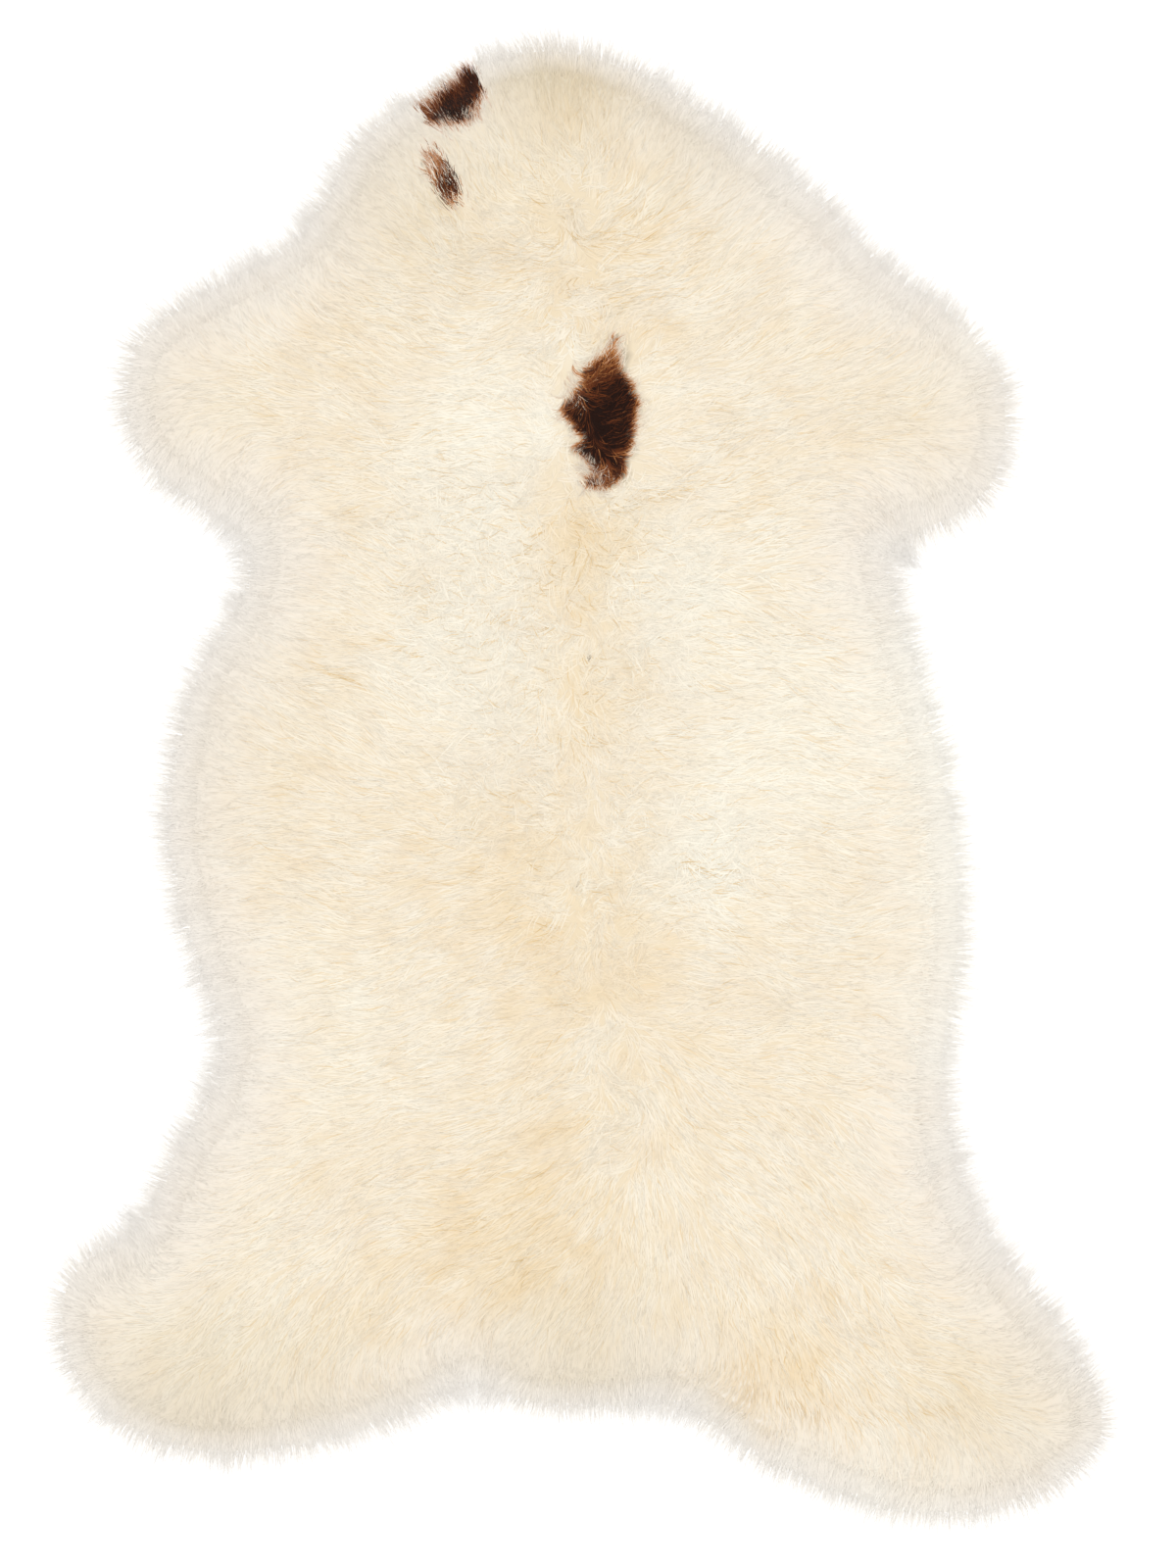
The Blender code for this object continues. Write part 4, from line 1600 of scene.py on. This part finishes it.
# ------------------------------------------------------------------ pieces on the solids
@dataclass
class Underwool:
    """The dense wool under the strands: the solid's top with finer swells, closed below.

    It lies below the pile's top by the sink. The solid's faces above the wall top make its outline,
    which slopes out by the skirt under the free locks. Its flat underside is just over the hide. It
    turns brown between two depths in a patch, given in millimetres.
    """

    relief: Relief
    spacing: float = 6.0 * MM
    sink: float = 1.4 * MM
    wall_top: float = 14.0 * MM
    skirt: float = 14.0 * MM
    underside: float = 2.4 * MM
    least_wall: float = 0.3 * MM
    sharp_edge: float = math.radians(60.0)
    seed: int = 50
    brown_edge: Pair = (-2.0, 3.0)

    def _edge(self) -> Array:
        """Follow the edge of the solid's top, and draw it outwards by the skirt.

        Returns:
            Corners of the edge in order, of shape (corners, 2).
        """
        shape = packed_shape("fleece")
        bmesh.ops.remove_doubles(shape, verts=shape.verts, dist=JOIN)
        low = [face for face in shape.faces if min(v.co.z for v in face.verts) < self.wall_top]
        bmesh.ops.delete(shape, geom=low, context="FACES")
        left = {edge for edge in shape.edges if edge.is_boundary}
        loops: list[list[Pair]] = []
        while left:
            edge = left.pop()
            first, vert = edge.verts
            loop = [tuple(vert.co.xy)]
            while vert is not first:
                edge = next(e for e in vert.link_edges if e in left)
                left.remove(edge)
                vert = edge.other_vert(vert)
                loop.append(tuple(vert.co.xy))
            loops.append(loop)
        shape.free()
        corners = np.array(max(loops, key=len))
        return corners + self.relief.outward(corners) * self.skirt

    def build(self) -> Object:
        """Build the piece: a top over the relief, a wall round it and a flat underside.

        Returns:
            The piece.
        """
        edge = self._edge()
        inner = self.relief.inner_points(self.spacing, 0.5 * self.spacing - self.skirt, self.seed)
        points = [Vector(point) for point in np.concatenate((edge, inner))]
        places, _, faces, *_ = delaunay_2d_cdt(points, [], [list(range(len(edge)))], 1, JOIN)
        flat = np.array([tuple(place) for place in places])
        heights = np.maximum(self.relief.height(flat) - self.sink, self.underside + self.least_wall)
        shape = bmesh.new()
        verts = [shape.verts.new((x, y, z)) for (x, y), z in zip(flat, heights)]
        for face in faces:
            shape.faces.new([verts[index] for index in face])
        rim = [edge for edge in shape.edges if edge.is_boundary]
        for item in bmesh.ops.extrude_edge_only(shape, edges=rim)["geom"]:
            if isinstance(item, bmesh.types.BMVert):
                item.co.z = self.underside
        bmesh.ops.edgeloop_fill(shape, edges=[edge for edge in shape.edges if edge.is_boundary])
        bmesh.ops.recalc_face_normals(shape, faces=shape.faces)
        mesh = mesh_of(shape, "underwool")
        mesh.shade_smooth()
        mesh.set_sharp_from_angle(angle=self.sharp_edge)
        return placed("underwool", mesh)

    def shade(self, piece: Object, markings: Markings) -> None:
        """Put the wool's shades on the piece: painted shade makes it warmer and duller than the strands,
        and the rim takes its painted shade and painted light.

        Args:
            piece: the piece.
            markings: where the wool is warmer, paler or darker, and where painted light falls on the rim.
        """
        flat = np.empty(len(piece.data.vertices) * 3)
        piece.data.vertices.foreach_get("co", flat)
        points = flat.reshape(-1, 3)[:, :2]
        brown = np.zeros(len(points))
        for patch in BROWN_PATCHES:
            brown = np.maximum(brown, smooth_step(*self.brown_edge, patch.depth(points)))
        rim = self.relief.rim(points)
        shades = clipped({
            # painted shade: between the strands the underwool is painted warmer and, away from the rim,
            # duller
            "warmth": (0.20 + 0.60 * spots_at(markings.warm, points)) * (1.0 - 0.7 * rim),
            "pale": 0.20 + 0.5 * spots_at(markings.pale, points),
            "pearl": 0.02 + 0.85 * rim * (1.0 - 0.7 * spots_at(markings.painted_light_rim, points)),
            "fawn": 0.30 * (1.0 - rim) ** 2 + spots_at(markings.dull, points),
            "brown": brown,
        })
        for name, values in shades.items():
            keep_values(piece.data, name, values)


@dataclass
class HideSheet:
    """The tanned skin: the solid's own sheet with its cut edge worn round.

    Faces within the flat angle of each other are made one, and an edge that rises by less than the
    level is level.
    """

    wear: float = 0.8 * MM
    wear_steps: int = 2
    flat_angle: float = math.radians(1.0)
    level: float = 0.01 * MM

    def build(self) -> Object:
        """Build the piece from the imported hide.

        Returns:
            The piece.
        """
        shape = packed_shape("hide")
        bmesh.ops.remove_doubles(shape, verts=shape.verts, dist=JOIN)
        bmesh.ops.dissolve_limit(shape, angle_limit=self.flat_angle, verts=shape.verts, edges=shape.edges)
        rim = [edge for edge in shape.edges
               if edge.is_manifold and abs(edge.verts[0].co.z - edge.verts[1].co.z) < self.level]
        bmesh.ops.bevel(shape, geom=rim, offset=self.wear, segments=self.wear_steps, affect="EDGES",
                        profile=0.5)
        bmesh.ops.triangulate(shape, faces=shape.faces)
        return placed("tanned_hide", mesh_of(shape, "tanned_hide"))


# ------------------------------------------------------------------ studio
@dataclass(frozen=True)
class Studio:
    """Floor, light and camera, with the lens and the sensor's height in millimetres.

    The picture's height is what the camera sees at the height of the rim, and the centre is the
    floor's point in its middle. Wool shades itself within the shade reach once light has bounced.
    """

    lens: float = 85.0
    sensor: float = 36.0
    picture_height: float = 1.120
    centre: Pair = (0.0014, -0.0018)
    rim_height: float = 0.006
    floor_size: float = 14.0
    shade_reach: float = 0.8 * MM
    world_light: float = 1.175
    key_power: float = 8.5
    key_size: float = 1.6
    key_place: tuple[float, float, float] = (0.18, -0.15, 2.4)

    def floor(self) -> None:
        """Lay the floor."""
        bpy.ops.mesh.primitive_plane_add(size=self.floor_size)
        floor = bpy.context.object
        floor.name = "floor"
        floor.data.materials.append(FloorFinish().material())

    def lights(self) -> None:
        """Hang one large soft light and light the room evenly."""
        world = bpy.data.worlds.new("room")
        world.use_nodes = True
        background = world.node_tree.nodes["Background"]
        background.inputs["Color"].default_value = (1.0, 1.0, 1.0, 1.0)
        background.inputs["Strength"].default_value = self.world_light
        bpy.context.scene.world = world
        lamp = bpy.data.lights.new("key", "AREA")
        lamp.energy = self.key_power
        lamp.size = self.key_size
        key = placed("key", lamp)
        key.location = self.key_place
        key.rotation_euler = (-Vector(self.key_place)).to_track_quat("-Z", "Y").to_euler()

    def camera(self) -> None:
        """Look straight down on the rug, with its neck at the top of the picture."""
        lens = bpy.data.cameras.new("camera")
        lens.lens = self.lens
        lens.sensor_width = self.sensor
        camera = placed("camera", lens)
        distance = self.picture_height / self.sensor * self.lens
        camera.location = (*self.centre, distance + self.rim_height)
        bpy.context.scene.camera = camera
        bpy.context.scene.view_settings.view_transform = "Standard"

    def bounces(self) -> None:
        """Let light that has bounced twice fill the depth of the wool as if it were open."""
        cycles = bpy.context.scene.cycles
        cycles.use_fast_gi = True
        cycles.fast_gi_method = "REPLACE"
        cycles.ao_bounces_render = 1
        bpy.context.scene.world.light_settings.distance = self.shade_reach

    def build(self) -> None:
        """Set up the whole studio."""
        self.floor()
        self.lights()
        self.camera()
        self.bounces()


# ------------------------------------------------------------------ kinds of wool
BODY_WOOL = Growth(
    seed=100, root_spacing=3.05 * MM, lock_spacing=5.5 * MM, depths=mm(6, 1000), length=36.0 * MM,
    points=4, width=0.52 * MM, taper=2.2, gather=0.30, overhang=mm(-2, 15, 33),
    curl=degrees(14, 50), stray=degrees(7, 40), root_sink=2.4 * MM,
)
FRINGE_WOOL = Growth(
    seed=250, root_spacing=3.5 * MM, lock_spacing=4.0 * MM, depths=mm(2, 32), length=52.0 * MM,
    points=3, width=0.38 * MM, taper=1.3, gather=0.10, overhang=mm(6, 24, 42),
    curl=degrees(10, 10), stray=degrees(6, 6), root_sink=1.6 * MM,
)
RIM_WOOL = Growth(
    seed=200, root_spacing=1.6 * MM, lock_spacing=2.5 * MM, depths=mm(-2, 20), length=54.0 * MM,
    points=3, width=0.25 * MM, taper=1.2, gather=0.0, overhang=mm(12, 36, 52),
    curl=degrees(6, 6), stray=degrees(3, 3), root_sink=2.4 * MM,
)
CURLED_WOOL = Growth(
    seed=300, root_spacing=3.0 * MM, lock_spacing=6.0 * MM, depths=mm(30, 1000), length=26.0 * MM,
    points=5, width=0.46 * MM, taper=1.8, gather=0.30, overhang=mm(9, 12, 20),
    curl=degrees(30, 70), stray=degrees(25, 45), root_sink=1.0 * MM, lift=0.1 * MM,
    least_tangle=0.30,
)
SHADOW_STREAK_WOOL = Growth(
    seed=500, root_spacing=3.0 * MM, lock_spacing=4.0 * MM, depths=mm(12, 1000), length=24.0 * MM,
    points=5, width=0.30 * MM, taper=1.6, gather=0.45, overhang=mm(2, 8, 14),
    curl=degrees(20, 40), stray=degrees(8, 25), root_sink=1.2 * MM, lift=0.25 * MM,
)
PATCH_WOOL = Growth(
    seed=400, root_spacing=1.25 * MM, lock_spacing=3.5 * MM, depths=mm(20, 1000), length=16.0 * MM,
    points=6, width=0.25 * MM, taper=2.0, gather=0.35, overhang=mm(6, 10, 24),
    curl=degrees(30, 50), stray=degrees(10, 20), root_sink=1.6 * MM, lift=0.1 * MM, flatness=0.30,
)
EDGE_PATCH_WOOL = Growth(
    seed=450, root_spacing=1.10 * MM, lock_spacing=4.0 * MM, depths=mm(-2, 34), length=32.0 * MM,
    points=6, width=0.30 * MM, taper=1.4, gather=0.10, overhang=mm(13, 20, 36),
    curl=degrees(16, 16), stray=degrees(5, 5), root_sink=1.6 * MM, lift=0.1 * MM, flatness=0.20,
)


class Rug:
    """The whole rug, piece by piece."""

    def __init__(self) -> None:
        """Read the form and set up the wool."""
        low, high = CAD_BOX
        self.origin = np.array((low.x, low.y))
        self.span = np.array((high.x - low.x, high.y - low.y))
        self.relief = Relief()
        self.markings = Markings()
        form = (self.relief, Lie(self.relief), self.markings)
        self.fleece = Fleece(*form)
        self.shadow_streaks = ShadowStreaks(*form)
        self.brown = BrownWool(*form)
        self.cream_finish = WoolFinish().material()
        self.rim_finish = WoolFinish(name="rim_wool", sheer=0.80).material()

    def underwool(self) -> None:
        """Build the dense wool under the strands."""
        underwool = Underwool(self.relief)
        piece = underwool.build()
        underwool.shade(piece, self.markings)
        dress(piece, self.cream_finish)
        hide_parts("fleece")
        LOG.info("underwool: %d triangles", sum(len(p.vertices) - 2 for p in piece.data.polygons))

    def hide(self) -> None:
        """Build the tanned skin."""
        sheet = HideSheet()
        piece = sheet.build()
        dress(piece, HideFinish().material())
        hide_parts("hide")
        LOG.info("tanned_hide: %d triangles", len(piece.data.polygons))

    def strands(self, name: str, wool: Strands, finish: Material) -> None:
        """Make one piece of strands.

        Args:
            name: name of the piece.
            wool: the strands.
            finish: their material.
        """
        piece = placed(name, wool.mesh(name, self.origin, self.span))
        dress(piece, finish)
        LOG.info("%s: %d strands, %d triangles", name, len(wool.lines), wool.triangle_count())

    def wool(self) -> None:
        """Grow the cream wool region by region, then the rim's, the curls and the painted shadow streaks.
        """
        body = self.fleece.grow(BODY_WOOL)
        body = body.chosen(self.brown.spare(body, 1))
        at = body.lines[:, 0, 1]
        front = math.inf
        for region in Region:
            share = body.chosen((at < front) & (at >= region.value))
            front = region.value
            self.strands(f"wool_{region.name.lower()}", share, self.cream_finish)
        kinds = (("wool_rim", self.fleece, RIM_WOOL, self.rim_finish),
                 ("wool_fringe", self.fleece, FRINGE_WOOL, self.rim_finish),
                 ("wool_curls", self.fleece, CURLED_WOOL, self.cream_finish),
                 ("wool_shadow_streaks", self.shadow_streaks, SHADOW_STREAK_WOOL, self.cream_finish))
        for name, fleece, growth, finish in kinds:
            kind = fleece.grow(growth)
            self.strands(name, kind.chosen(self.brown.spare(kind, growth.seed)), finish)

    def patches(self) -> None:
        """Grow the brown wool."""
        finish = BrownWoolFinish().material()
        self.strands("wool_brown", self.brown.grow(PATCH_WOOL), finish)
        self.strands("wool_brown_edge", self.brown.grow(EDGE_PATCH_WOOL), finish)

    def build(self) -> None:
        """Build every piece."""
        self.underwool()
        self.hide()
        self.wool()
        self.patches()


def main() -> None:
    """Build the studio and the rug."""
    logging.basicConfig(level=logging.INFO, format="%(message)s", stream=sys.stdout)
    Studio().build()
    Rug().build()


if __name__ == "__main__":
    main()
